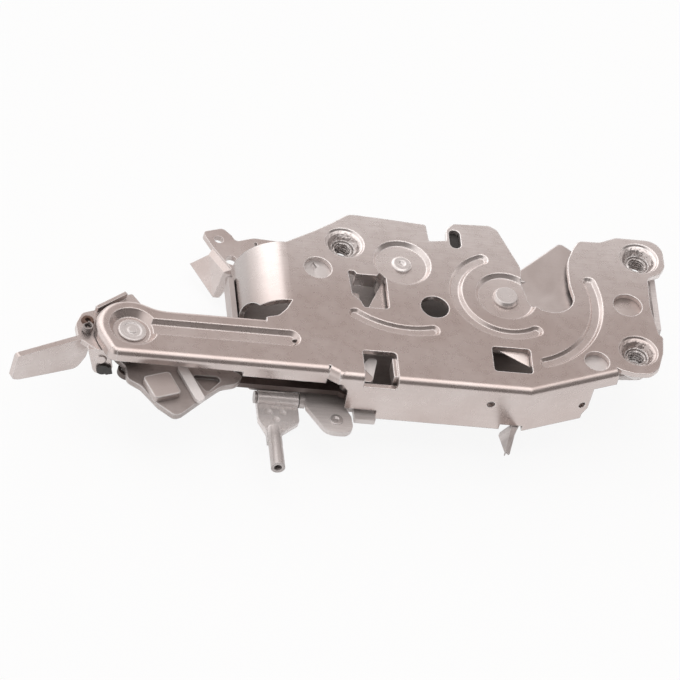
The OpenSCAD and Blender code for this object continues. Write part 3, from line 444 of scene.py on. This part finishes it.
@dataclass(frozen=True)
class ZincFinish:
    """Zinc plate over stamped, blanked or turned steel, with cloudy patches, grain, and bright edges that
    are partly worn and partly painted highlight.

    Stretches along the axes say where painted light takes a finish from dull to pale (painted_light_fade),
    where painted shade may darken its hollows (painted_shade_stretches), where painted light makes it paler
    just below the face (sunk_painted_light) and where painted shade makes it darker (dim). It is crinkled
    and darkened by painted shade within rough_reach of the lines at rough_spots.
    """

    name: str
    pale: Colour
    dull: Colour
    roughness: float
    wear_and_highlight: WearAndHighlight = WearAndHighlight.LIGHT
    metallic: float = 1.0
    edge_metal_lost: float = 0.5
    painted_shade: float = 0.8
    edge_mm: float = 0.28
    hollow_mm: float = 7.0
    hollow_open: float = 0.5
    painted_light_fade: Tuple[Stretch, ...] = ()
    painted_shade_stretches: Tuple[Stretch, ...] = ()
    sunk_painted_light: Tuple[Stretch, ...] = ()
    dim: Tuple[Stretch, ...] = ()
    rough_spots: Tuple[Point, ...] = ()
    rough_reach: Spot = (5.6, 6.4)

    def build(self) -> bpy.types.Material:
        """Builds the material.

        Returns:
            The new material.
        """
        material, g, shader = new_material(self.name, "BsdfPrincipled")
        plain = g.place()
        streak = g.noise(g.place(SKIN.streak_stretch), SKIN.streak_mm, Detail.PLAIN)
        round_edge = g.rounded(self.edge_mm, SKIN.edge_samples)
        edge = self.worn_and_lit_edge(g, plain, round_edge)
        painted_shade = self.hollow_painted_shade(g)
        colour = self.plate_colour(g, plain, streak)
        metal: Value = self.metallic
        relief = g.blend_value(SKIN.streak_relief, g.noise(plain, SKIN.grain_mm, Detail.FINE), streak)
        normal = g.bump(relief, SKIN.grain_depth_mm, SKIN.grain_strength, round_edge)
        if self.sunk_painted_light:
            # Painted light: paler and less metallic just below the face.
            sunk_painted_light = g.within(self.sunk_painted_light)
            colour = g.tint(colour, sunk_painted_light, SKIN.sunk_painted_light_share, SKIN.sunk_painted_light_tone)
            metal = g.maths("SUBTRACT", metal, g.times(sunk_painted_light, SKIN.sunk_painted_light_metal_lost))
        if self.rough_spots:
            # Painted shade darkens the screw dimples; the crinkle is relief.
            dimples = g.near(self.rough_spots, *self.rough_reach)
            colour = g.tint(colour, dimples, SKIN.dimple_shade_share, SKIN.dimple_shade_tone)
            crinkle = g.times(g.noise(plain, SKIN.crinkle_mm, Detail.PLAIN), dimples)
            normal = g.bump(crinkle, SKIN.crinkle_depth_mm, 1.0, normal)
        # Painted shade darkens the dim stretches.
        if self.dim:
            colour = g.tint(colour, g.within(self.dim), SKIN.dim_shade_share, SKIN.dim_shade_tone)
        # Edges brighten, partly worn and partly painted highlight.
        colour = g.blend(edge, colour, SKIN.edge_worn_highlight_tone)
        metal = g.maths("SUBTRACT", metal, g.times(edge, self.edge_metal_lost))
        # Painted shade darkens the hollows.
        g.feed(shader, "Base Color", g.blend(painted_shade, colour, SKIN.painted_shade_tone))
        g.feed(shader, "Metallic", g.maths("MAXIMUM", metal, 0.0))
        g.feed(shader, "Roughness", self.plate_roughness(g, plain, edge, painted_shade))
        g.feed(shader, "Normal", normal)
        return material

    def plate_colour(self, g: Graph, plain: Output, streak: Output) -> Output:
        """The colour of the plating away from edges and hollows.

        Args:
            g: the material's graph.
            plain: where patterns are read.
            streak: the brushed streaks.

        Returns:
            The colour.
        """
        cloud = g.ramp(g.noise(plain, SKIN.cloud_mm, Detail.CLOUDY), *SKIN.cloud_band)
        # Painted light: within these stretches the colour leans to the pale tone; outside them it stays
        # duller, as painted shade.
        if self.painted_light_fade:
            cloud = g.blend_value(SKIN.painted_light_fade_share, cloud, g.within(self.painted_light_fade))
        speck = g.ramp(g.noise(plain, SKIN.speck_mm, Detail.PLAIN), *SKIN.speck_band)
        colour = g.blend(cloud, self.dull, self.pale)
        colour = g.blend(g.ramp(streak, *SKIN.streak_band, 0.0, SKIN.streak_share), colour, self.dull)
        return g.tint(colour, speck, SKIN.speck_share, SKIN.speck_tone)

    def worn_and_lit_edge(self, g: Graph, plain: Output, round_edge: Output) -> Output:
        """How far the edges brighten where the rounded normal turns away, partly as plating worn to bright
        metal and partly as painted highlight.

        Args:
            g: the material's graph.
            plain: where patterns are read.
            round_edge: the rounded normal.

        Returns:
            The factor.
        """
        facing = g.add("VectorMath", operation="DOT_PRODUCT")
        g.feed(facing, 0, round_edge)
        g.feed(facing, 1, g.add("NewGeometry").outputs["Normal"])
        edge = g.ramp(facing.outputs["Value"], *SKIN.edge_turned, 0.0, self.wear_and_highlight.value)
        patch = g.noise(plain, SKIN.edge_patch_mm, Detail.PLAIN)
        return g.times(edge, g.ramp(patch, *SKIN.edge_patch_band, SKIN.edge_least, 1.0))

    def hollow_painted_shade(self, g: Graph) -> Output:
        """How far painted shade darkens the hollows.

        Args:
            g: the material's graph.

        Returns:
            The factor.
        """
        hollow = g.add("AmbientOcclusion", samples=SKIN.hollow_samples)
        g.feed(hollow, "Distance", self.hollow_mm * MM)
        painted_shade = g.ramp(hollow.outputs["AO"], SKIN.hollow_closed, self.hollow_open, self.painted_shade, 0.0)
        if self.painted_shade_stretches:
            painted_shade = g.times(painted_shade, g.within(self.painted_shade_stretches))
        return painted_shade

    def plate_roughness(self, g: Graph, plain: Output, edge: Output, painted_shade: Output) -> Output:
        """The roughness, patchy on the plating, lower on brightened edges and higher where painted shade
        darkens the hollows.

        Args:
            g: the material's graph.
            plain: where patterns are read.
            edge: how far the edges brighten, partly worn and partly painted highlight.
            painted_shade: how far painted shade darkens the hollows.

        Returns:
            The roughness.
        """
        patch = g.noise(plain, SKIN.rough_patch_mm, Detail.CLOUDY)
        rough = g.ramp(patch, *SKIN.rough_patch_band,
                       self.roughness - SKIN.rough_below, self.roughness + SKIN.rough_above)
        rough = g.maths("SUBTRACT", rough, g.times(edge, SKIN.edge_polish))
        return g.maths("ADD", rough, g.times(painted_shade, SKIN.painted_shade_roughness))


@dataclass(frozen=True)
class MouldedFinish:
    """Moulded rubber or plastic, dull, with a fine skin and dusty patches."""

    name: str
    colour: Colour
    dust: Colour
    roughness: float
    roughness_spread: float = 0.1
    skin_mm: float = 0.5
    skin_band: Spot = (0.3, 0.7)
    skin_depth_mm: float = 0.03
    skin_strength: float = 0.5
    dust_mm: float = 4.0
    dust_band: Spot = (0.4, 0.75)
    dust_share: float = 0.35
    edge_mm: float = 0.2
    edge_samples: int = 4

    def build(self) -> bpy.types.Material:
        """Builds the material.

        Returns:
            The new material.
        """
        material, g, shader = new_material(self.name, "BsdfPrincipled")
        plain = g.place()
        skin = g.noise(plain, self.skin_mm, Detail.FINE)
        dusty = g.ramp(g.noise(plain, self.dust_mm, Detail.CLOUDY), *self.dust_band, 0.0, self.dust_share)
        g.feed(shader, "Base Color", g.blend(dusty, self.colour, self.dust))
        spread = self.roughness_spread
        g.feed(shader, "Roughness",
               g.ramp(skin, *self.skin_band, self.roughness - spread, self.roughness + spread))
        round_edge = g.rounded(self.edge_mm, self.edge_samples)
        g.feed(shader, "Normal", g.bump(skin, self.skin_depth_mm, self.skin_strength, round_edge))
        return material


Finish = Union[ZincFinish, MouldedFinish]

SCREW_HOLES = tuple(tuple(mount["pos_m"]) for mount in SCREW_MOUNTS)
# Painted light makes the face paler towards its upper edge and just below it on sunk floors and bends;
# painted shade darkens the foot of the rolled wall and the screw dimples.
FACE_ZINC = ZincFinish("face_zinc", grey(0.98, 0.06), grey(0.60, 0.20), 0.27, WearAndHighlight.STRONG,
                       edge_metal_lost=0.35, edge_mm=0.6, hollow_mm=6.0, hollow_open=0.4,
                       painted_light_fade=(("Y", -12.0, 27.0),),
                       sunk_painted_light=(("Z", -0.1, -0.6), ("Z", -14.0, -4.0)),
                       dim=(("X", -100.0, -106.0), ("Y", -17.0, -14.0)),
                       rough_spots=SCREW_HOLES)
# Painted shade makes the back plate duller at its left edge and darker between the plates and on the spike.
BACK_ZINC = ZincFinish("back_zinc", grey(0.92, 0.08), grey(0.46, 0.16), 0.36, metallic=0.25, painted_shade=0.95,
                       hollow_mm=22.0, hollow_open=0.7, painted_light_fade=(("X", -107.0, -101.0),),
                       painted_shade_stretches=(("Y", -46.5, -43.5), ("X", 26.0, -12.0)),
                       dim=(("Y", -49.0, -53.0), ("X", -40.0, -30.0)))
LEVER_ZINC = ZincFinish("lever_zinc", grey(0.74, 0.13), grey(0.62, 0.18), 0.27, WearAndHighlight.STRONG, 0.75,
                        edge_mm=0.4)
# The key lever's near-white tone is painted light that makes up for the shade it sits in, and painted shade
# darkens its tube.
KEY_ZINC = ZincFinish("key_zinc", grey(1.0, 0.06), grey(0.92, 0.09), 0.25, WearAndHighlight.STRONG, 0.25, painted_shade=0.6,
                      edge_mm=0.5, hollow_mm=3.0, dim=(("Y", -55.0, -59.0),))
# The lock lever's dark tone is painted shade, deepened by strong painted shade in its hollows.
LOCK_ZINC = ZincFinish("lock_zinc", grey(0.66, 0.12), grey(0.36, 0.19), 0.28, WearAndHighlight.STRONG, 0.5, painted_shade=0.95,
                       edge_mm=0.9, hollow_mm=8.0, hollow_open=0.92)
BLOCK_ZINC = ZincFinish("block_zinc", grey(0.62, 0.15), grey(0.52, 0.18), 0.30, WearAndHighlight.STRONG, 0.5, painted_shade=0.7,
                        edge_mm=1.0)
STRAP_ZINC = ZincFinish("strap_zinc", grey(1.0, 0.05), grey(0.92, 0.07), 0.22, WearAndHighlight.STRONG, 0.2, painted_shade=0.2)
# The lock bar's near-black tone is painted shade, so that it reads as the shadowed gap behind the arm's
# flange.
PAINTED_SHADE_STEEL = ZincFinish("painted_shade_steel", grey(0.20, 0.20), grey(0.11, 0.28), 0.42, WearAndHighlight.NONE, painted_shade=0.9)
FORK_ZINC = ZincFinish("fork_zinc", grey(0.66, 0.12), grey(0.55, 0.16), 0.38, WearAndHighlight.STRONG, edge_mm=1.0)
BRIGHT_ZINC = ZincFinish("bright_zinc", grey(0.86, 0.05), grey(0.74, 0.10), 0.24, WearAndHighlight.STRONG, 0.6,
                         edge_mm=0.5)
NUT_ZINC = ZincFinish("nut_zinc", grey(0.92, 0.03), grey(0.60, 0.12), 0.20, WearAndHighlight.STRONG, 0.8, painted_shade=0.2,
                      rough_spots=SCREW_HOLES, rough_reach=(3.3, 4.0))
TURNED_STEEL = ZincFinish("turned_steel", grey(0.60, 0.08), grey(0.50, 0.12), 0.30, metallic=0.5)
SPRING_STEEL = ZincFinish("spring_steel", grey(0.42, 0.12), grey(0.26, 0.18), 0.34, WearAndHighlight.NONE)
BACKING_ZINC = ZincFinish("backing_zinc", grey(0.84, 0.06), grey(0.74, 0.08), 0.30, metallic=0.5, painted_shade=0.3)
BLACK_RUBBER = MouldedFinish("black_rubber", grey(0.035, 0.1), grey(0.12, 0.15), 0.65)
BROWN_PLASTIC = MouldedFinish("brown_plastic", (0.115, 0.048, 0.024, 1.0), grey(0.20, 0.25), 0.5)
DARK_PLASTIC = MouldedFinish("dark_plastic", grey(0.05, 0.12), grey(0.14, 0.18), 0.45)

NODE_FINISHES: Dict[str, Finish] = {
    "frame_plate": FACE_ZINC,
    "back_plate": BACK_ZINC,
    "anchor_nuts": NUT_ZINC,
    "spacer_posts": TURNED_STEEL,
    "fork_rivet": BRIGHT_ZINC,
    "detent_rivet": BRIGHT_ZINC,
    "arm_stud": BRIGHT_ZINC,
    "ear_rivet": BRIGHT_ZINC,
    "key_pin": TURNED_STEEL,
    "outside_pivot": TURNED_STEEL,
    "finger_post": TURNED_STEEL,
    "fork_bumper": BLACK_RUBBER,
    "fork_spring": SPRING_STEEL,
    "detent_spring": SPRING_STEEL,
    "lock_spring": SPRING_STEEL,
    "fork_bolt": FORK_ZINC,
    "detent_pawl": FORK_ZINC,
    "detent_tail": LEVER_ZINC,
    "inside_lever": LEVER_ZINC,
    "rod_bush": BROWN_PLASTIC,
    "rod_clip": DARK_PLASTIC,
    "return_spring": SPRING_STEEL,
    "remote_link": LEVER_ZINC,
    "link_pin": TURNED_STEEL,
    "lock_lever": LOCK_ZINC,
    "slide_block": BLOCK_ZINC,
    "lock_strap": STRAP_ZINC,
    "lock_bar": PAINTED_SHADE_STEEL,
    "finger_lever": LEVER_ZINC,
    "outside_lever": LEVER_ZINC,
    "key_lever": KEY_ZINC,
}


class Dresser:
    """Keeps one material for each finish, and gives it to pieces."""

    def __init__(self) -> None:
        """Starts with no material made."""
        self.made: Dict[str, bpy.types.Material] = {}

    def material(self, finish: Finish) -> bpy.types.Material:
        """The material of a finish, built the first time that it is asked for.

        Args:
            finish: a zinc or a moulded finish.

        Returns:
            Its material.
        """
        if finish.name not in self.made:
            self.made[finish.name] = finish.build()
        return self.made[finish.name]

    def dress(self, piece: bpy.types.Object, finish: Finish) -> None:
        """Gives a piece one finish all over.

        Args:
            piece: the object.
            finish: its finish.
        """
        material = self.material(finish)
        if not piece.material_slots:
            piece.data.materials.append(material)
        for slot in piece.material_slots:
            slot.material = material


def finished_piece(bm: bmesh.types.BMesh, name: str, body: str,
                   smooth: bool = True) -> bpy.types.Object:
    """Turns a finished bmesh into a piece that rides on a body.

    Args:
        bm: the shape, in metres, where it belongs; it is freed.
        name: the piece's name.
        body: the body that carries it.
        smooth: whether its faces are shaded smooth.

    Returns:
        The new object.
    """
    bmesh.ops.remove_doubles(bm, verts=bm.verts, dist=MERGE_MM * MM)
    bmesh.ops.recalc_face_normals(bm, faces=bm.faces)
    mesh = bpy.data.meshes.new(name)
    bm.to_mesh(mesh)
    bm.free()
    for polygon in mesh.polygons:
        polygon.use_smooth = smooth
    mesh.set_sharp_from_angle(angle=SHARP_TURN)
    piece = bpy.data.objects.new(name, mesh)
    bpy.context.scene.collection.objects.link(piece)
    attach(piece, body)
    LOG.info("%s: %d faces on %s", name, len(mesh.polygons), body)
    return piece


def thicken(bm: bmesh.types.BMesh, top: float, thickness: float, rim: float) -> bmesh.types.BMesh:
    """Gives a flat shape its thickness downwards, closes it and rounds its upper rims.

    Args:
        bm: flat faces at one height.
        top: that height in millimetres.
        thickness: how thick it becomes in millimetres.
        rim: the width of the rounded rims in millimetres.

    Returns:
        The same shape, closed.
    """
    grown = bmesh.ops.extrude_face_region(bm, geom=bm.faces[:], use_keep_orig=True)
    moved = [item for item in grown["geom"] if isinstance(item, bmesh.types.BMVert)]
    bmesh.ops.translate(bm, verts=moved, vec=(0.0, 0.0, -thickness * MM))
    bmesh.ops.recalc_face_normals(bm, faces=bm.faces)
    halfway = (top - thickness / 2) * MM
    upper = [edge for edge in bm.edges if min(vert.co.z for vert in edge.verts) > halfway]
    rims = [edge for edge in upper if any(abs(face.normal.z) < WALL_RISE for face in edge.link_faces)]
    bmesh.ops.bevel(bm, geom=rims, offset=rim * MM, affect="EDGES", segments=RIM_STEPS, profile=0.5,
                    material=-1)
    return bm


@dataclass(frozen=True)
class Blank:
    """A flat blank with rounded corners and a rounded upper rim, in millimetres, as seen from above."""

    outline: Tuple[Spot, ...]
    thickness: float
    corner: float
    rim: float

    def cut(self, top: float) -> bmesh.types.BMesh:
        """Cuts the blank.

        Args:
            top: the height of its upper face in millimetres.

        Returns:
            The closed shape, in metres.
        """
        bm = bmesh.new()
        corners = [bm.verts.new((x * MM, y * MM, top * MM)) for x, y in self.outline]
        bm.faces.new(corners)
        bmesh.ops.bevel(bm, geom=corners, offset=self.corner * MM, affect="VERTICES", segments=CORNER_STEPS,
                        profile=0.5, material=-1)
        return thicken(bm, top, self.thickness, self.rim)


@dataclass
class WindowForms:
    """What shows close under the windows, the round holes and the slot of the face, in millimetres."""

    dresser: Dresser
    face_under: float = -2.0
    left_hole: Spot = (-82.6, 3.5)
    lower_hole: Spot = (13.8, -29.8)
    right_hole: Spot = (27.5, -1.8)
    backing_r: float = 5.7
    backing_t: float = 0.8
    backing_rim: float = 0.1
    backing_steps: int = 32
    notch: Spot = (-83.5, 5.7)
    notch_half: Spot = (1.1, 2.1)
    tongue: Blank = Blank(((-21.6, -26.3), (-8.6, -26.5), (-8.4, -33.4), (-12.4, -31.4)), 0.3, 0.7, 0.12)
    tongue_tilt: float = math.radians(8.0)
    tongue_reach: float = 1.5
    fingertip: Blank = Blank(
        ((-68.6, -43.2), (-69.4, -36.9), (-66.5, -32.4), (-63.6, -33.4), (-66.2, -43.9)), 2.1, 1.15, 0.4)
    fingertip_gap: float = 0.02
    slot_pad: Blank = Blank(((-33.8, 19.6), (-28.8, 19.6), (-28.8, 28.8), (-33.8, 28.8)), 1.35, 1.0, 0.3)
    slot_pad_gap: float = 0.05

    def build(self) -> None:
        """Builds the backing discs, the tongue, the fingertip and the pad behind the slot."""
        self.lay_backing("left_backing", self.notched_disc(self.left_hole), BACKING_ZINC)
        self.lay_backing("lower_backing", self.disc(self.lower_hole), BACKING_ZINC)
        self.lay_backing("right_backing", self.disc(self.right_hole), LEVER_ZINC)
        self.guide_tongue()
        lever_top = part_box("finger_lever")[1].z / MM
        tip = self.fingertip.cut(lever_top - self.fingertip_gap)
        self.dresser.dress(finished_piece(tip, "fingertip", "finger"), STRAP_ZINC)
        pad = self.slot_pad.cut(self.face_under - self.slot_pad_gap)
        self.dresser.dress(finished_piece(pad, "slot_pad", "root"), BLACK_RUBBER)

    def under_face(self, spot: Spot) -> Matrix:
        """The place of a spot on the rear of the face.

        Args:
            spot: where it lies as seen from above.

        Returns:
            The move to it, in metres.
        """
        return Matrix.Translation((spot[0] * MM, spot[1] * MM, self.face_under * MM))

    def disc(self, centre: Spot) -> bmesh.types.BMesh:
        """Draws a round backing.

        Args:
            centre: the middle of its hole.

        Returns:
            One flat face.
        """
        bm = bmesh.new()
        bmesh.ops.create_circle(bm, cap_ends=True, segments=self.backing_steps, radius=self.backing_r * MM,
                                matrix=self.under_face(centre))
        return bm

    def notched_disc(self, centre: Spot) -> bmesh.types.BMesh:
        """Draws a round backing with a lozenge cut out of it.

        Args:
            centre: the middle of its hole.

        Returns:
            The flat faces between the rim and the lozenge.
        """
        bm = bmesh.new()
        outer = bmesh.ops.create_circle(bm, segments=self.backing_steps, radius=self.backing_r * MM,
                                        matrix=self.under_face(centre))["verts"]
        shape = Matrix.Diagonal((self.notch_half[0] * MM, self.notch_half[1] * MM, 1.0, 1.0))
        bmesh.ops.create_circle(bm, segments=4, radius=1.0, matrix=self.under_face(self.notch) @ shape)
        lozenge = [edge for edge in bm.edges if not set(edge.verts) & set(outer)]
        bmesh.ops.subdivide_edges(bm, edges=lozenge, cuts=self.backing_steps // 4 - 1)
        bmesh.ops.bridge_loops(bm, edges=bm.edges)
        return bm

    def lay_backing(self, name: str, bm: bmesh.types.BMesh, finish: ZincFinish) -> None:
        """Lays a thin backing against the rear of the face.

        Args:
            name: its name.
            bm: its flat faces.
            finish: its finish.
        """
        thicken(bm, self.face_under, self.backing_t, self.backing_rim)
        self.dresser.dress(finished_piece(bm, name, "root"), finish)

    def guide_tongue(self) -> None:
        """Hangs the thin slanted tongue under the right edge of the fork window."""
        bm = self.tongue.cut(self.face_under)
        hinge = Vector((0.0, self.tongue.outline[0][1] * MM, self.face_under * MM))
        tilt = Matrix.Rotation(self.tongue_tilt, 3, "X")
        bmesh.ops.rotate(bm, verts=bm.verts, cent=hinge, matrix=tilt)
        lowest = (self.face_under - self.tongue_reach) * MM
        for vert in bm.verts:
            vert.co.z = max(vert.co.z, lowest)
        self.dresser.dress(finished_piece(bm, "guide_tongue", "root"), LEVER_ZINC)


@dataclass
class ScrewThreads:
    """The threads that glint in the three screw dimples, in millimetres; heights are shares of the pitch."""

    dresser: Dresser
    pitch: float = 1.0
    crest: float = 0.34
    flank_height: float = 0.42
    crest_height: float = 0.126
    sunk: float = 0.02
    inset: float = 0.25
    turns_left_out: float = 0.5
    steps_a_turn: int = 32

    def build(self) -> None:
        """Cuts one thread into each screw mount of the record."""
        for mount in SCREW_MOUNTS:
            self.thread(mount)

    def thread(self, mount: Dict[str, Any]) -> None:
        """Winds one ridge up a screw hole.

        Args:
            mount: the record's threaded hole.
        """
        length = mount["dims"]["length_mm"] - 2 * self.inset
        turns = length / self.pitch - self.turns_left_out
        foot = Vector((mount["pos_m"][0], mount["pos_m"][1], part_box("anchor_nuts")[0].z + self.inset * MM))
        wall = mount["dims"]["r_mm"] + self.sunk
        tip = mount["dims"]["r_mm"] - self.crest
        crest_end = self.flank_height + self.crest_height
        profile = ((wall, 0.0), (tip, self.flank_height), (tip, crest_end), (wall, 2 * self.flank_height))
        bm = bmesh.new()
        ring = [bm.verts.new(foot + Vector((r * MM, 0.0, z * self.pitch * MM))) for r, z in profile]
        edges = [bm.edges.new((ring[i], ring[(i + 1) % len(ring)])) for i in range(len(ring))]
        steps = int(self.steps_a_turn * turns)
        bmesh.ops.spin(bm, geom=ring + edges, cent=foot, axis=(0.0, 0.0, 1.0), angle=math.tau * turns,
                       steps=steps, dvec=(0.0, 0.0, turns * self.pitch * MM / steps), use_duplicate=False)
        bmesh.ops.holes_fill(bm, edges=bm.edges, sides=len(ring))
        piece = finished_piece(bm, mount["name"] + "_thread", "root", smooth=False)
        self.dresser.dress(piece, NUT_ZINC)


@dataclass
class LatchPieces:
    """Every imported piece, each in its own finish."""

    dresser: Dresser

    def build(self) -> None:
        """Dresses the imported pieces."""
        for name, node in frame["nodes"].items():
            self.dresser.dress(node, NODE_FINISHES[name])
            LOG.info("%s: %s", name, NODE_FINISHES[name].name)


@dataclass(frozen=True)
class Room:
    """The tones round the latch, and the parts of a direction between which each one takes over."""

    low: Colour = grey(1.15, 0.05)
    middle: Colour = grey(0.52, 0.12)
    middle_up: Spot = (0.12, 0.45)
    left: Colour = grey(1.75, 0.03)
    left_up: Spot = (0.02, 0.12)
    left_across: Spot = (0.06, -0.10)
    left_end: Spot = (-0.75, -0.60)
    front: Colour = grey(0.14, 0.14)
    front_along: Spot = (0.30, -0.12)
    side: Colour = grey(1.1, 0.04)
    side_across: Spot = (-0.30, -0.70)
    side_along: Spot = (0.60, 0.20)
    overhead: Colour = grey(0.95, 0.06)
    overhead_up: Spot = (0.88, 0.97)


@dataclass
class Studio:
    """Pale floor, soft lamp, calm room and the camera of the photograph."""

    room: Room = Room()
    pixels_a_mm: float = 2.9
    image_px: float = 680.0
    lens_mm: float = 800.0
    sensor_mm: float = 36.0
    clip_shares: Spot = (0.1, 4.0)
    look_at: Point = (-77.7, -30.25, 0.0)
    right: Point = (0.973, -0.085, 0.213)
    up: Point = (-0.083, 0.734, 0.675)
    floor_gap: float = 1.5
    floor_size: float = 6000.0
    floor_tone: float = 0.9
    floor_glow_seen: float = 0.90
    lamp_way: Point = (0.20, -0.05, 0.97)
    lamp_distance: float = 1200.0
    lamp_size: float = 1250.0
    lamp_radiance: float = 0.88
    lamp_colour: Point = (1.0, 0.985, 0.975)

    def build(self) -> None:
        """Sets up everything round the latch."""
        self.floor()
        self.world()
        self.lamp()
        self.camera()
        bpy.context.scene.view_settings.view_transform = "Standard"

    def floor(self) -> None:
        """Lays a pale floor just under the lowest point."""
        bm = bmesh.new()
        bmesh.ops.create_grid(bm, x_segments=1, y_segments=1, size=self.floor_size * MM / 2)
        height = CAD_BOX[0].z - self.floor_gap * MM
        bmesh.ops.translate(bm, verts=bm.verts, vec=(self.look_at[0] * MM, 0.0, height))
        mesh = bpy.data.meshes.new("floor")
        bm.to_mesh(mesh)
        bm.free()
        floor = bpy.data.objects.new("floor", mesh)
        bpy.context.scene.collection.objects.link(floor)
        mesh.materials.append(self.floor_material())

    def floor_material(self) -> bpy.types.Material:
        """A pale floor that shows as white to the camera, in reflections and through clear pieces.

        Returns:
            The new material.
        """
        material, g, mix = new_material("pale_floor", "MixShader")
        diffuse = g.add("BsdfDiffuse")
        g.feed(diffuse, "Color", grey(self.floor_tone))
        glow = g.add("Emission")
        g.feed(glow, "Color", grey(1.0))
        g.feed(glow, "Strength", 1.0)
        path = g.add("LightPath")
        seen = g.maths("MAXIMUM", path.outputs["Is Camera Ray"], path.outputs["Is Glossy Ray"])
        seen = g.maths("MAXIMUM", seen, path.outputs["Is Transmission Ray"])
        g.feed(mix, 0, g.times(seen, self.floor_glow_seen))
        g.feed(mix, 1, diffuse.outputs[0])
        g.feed(mix, 2, glow.outputs[0])
        return material

    def world(self) -> None:
        """Makes a room that is bright low down and to the left, and dim behind the camera."""
        world = bpy.data.worlds.new("studio")
        bpy.context.scene.world = world
        world.use_nodes = True
        g = Graph(world.node_tree)
        split = g.add("SeparateXYZ")
        g.feed(split, 0, g.add("TexCoord").outputs["Generated"])
        across, along, up = (split.outputs[axis] for axis in ("X", "Y", "Z"))
        room = self.room
        colour = g.blend(g.ramp(up, *room.middle_up), room.low, room.middle)
        left = g.times(g.ramp(across, *room.left_across), g.ramp(up, *room.left_up))
        left = g.times(left, g.ramp(across, *room.left_end))
        colour = g.blend(left, colour, room.left)
        colour = g.blend(g.ramp(along, *room.front_along), colour, room.front)
        side = g.times(g.ramp(across, *room.side_across), g.ramp(along, *room.side_along))
        colour = g.blend(side, colour, room.side)
        colour = g.blend(g.ramp(up, *room.overhead_up), colour, room.overhead)
        back = g.add("Background")
        g.feed(back, "Color", colour)
        g.feed(back, "Strength", 1.0)
        g.feed(g.add("OutputWorld"), "Surface", back.outputs[0])

    def lamp(self) -> None:
        """Hangs one soft box that faces the latch."""
        size = self.lamp_size * MM
        data = bpy.data.lights.new("high_softbox", "AREA")
        data.shape = "SQUARE"
        data.size = size
        data.energy = self.lamp_radiance * math.pi * size * size
        data.color = self.lamp_colour
        lamp = bpy.data.objects.new("high_softbox", data)
        bpy.context.scene.collection.objects.link(lamp)
        way = Vector(self.lamp_way).normalized()
        lamp.location = (Vector(self.look_at) + way * self.lamp_distance) * MM
        lamp.rotation_euler = way.to_track_quat("Z", "Y").to_euler()

    def camera(self) -> None:
        """Sets the camera at the photograph's angle and scale."""
        data = bpy.data.cameras.new("camera")
        data.sensor_width = self.sensor_mm
        data.lens = self.lens_mm
        right = Vector(self.right).normalized()
        up = Vector(self.up)
        up = (up - right * up.dot(right)).normalized()
        back = right.cross(up)
        distance = self.image_px / self.pixels_a_mm * MM * self.lens_mm / self.sensor_mm
        data.clip_start, data.clip_end = (distance * share for share in self.clip_shares)
        camera = bpy.data.objects.new("camera", data)
        bpy.context.scene.collection.objects.link(camera)
        turn = Matrix((right, up, back)).transposed().to_4x4()
        camera.matrix_world = Matrix.Translation(Vector(self.look_at) * MM + back * distance) @ turn
        bpy.context.scene.camera = camera


def main() -> None:
    """Builds the looks in order."""
    logging.basicConfig(level=logging.INFO, format="%(name)s %(message)s")
    dresser = Dresser()
    LatchPieces(dresser).build()
    ScrewThreads(dresser).build()
    WindowForms(dresser).build()
    Studio().build()


if __name__ == "__main__":
    main()
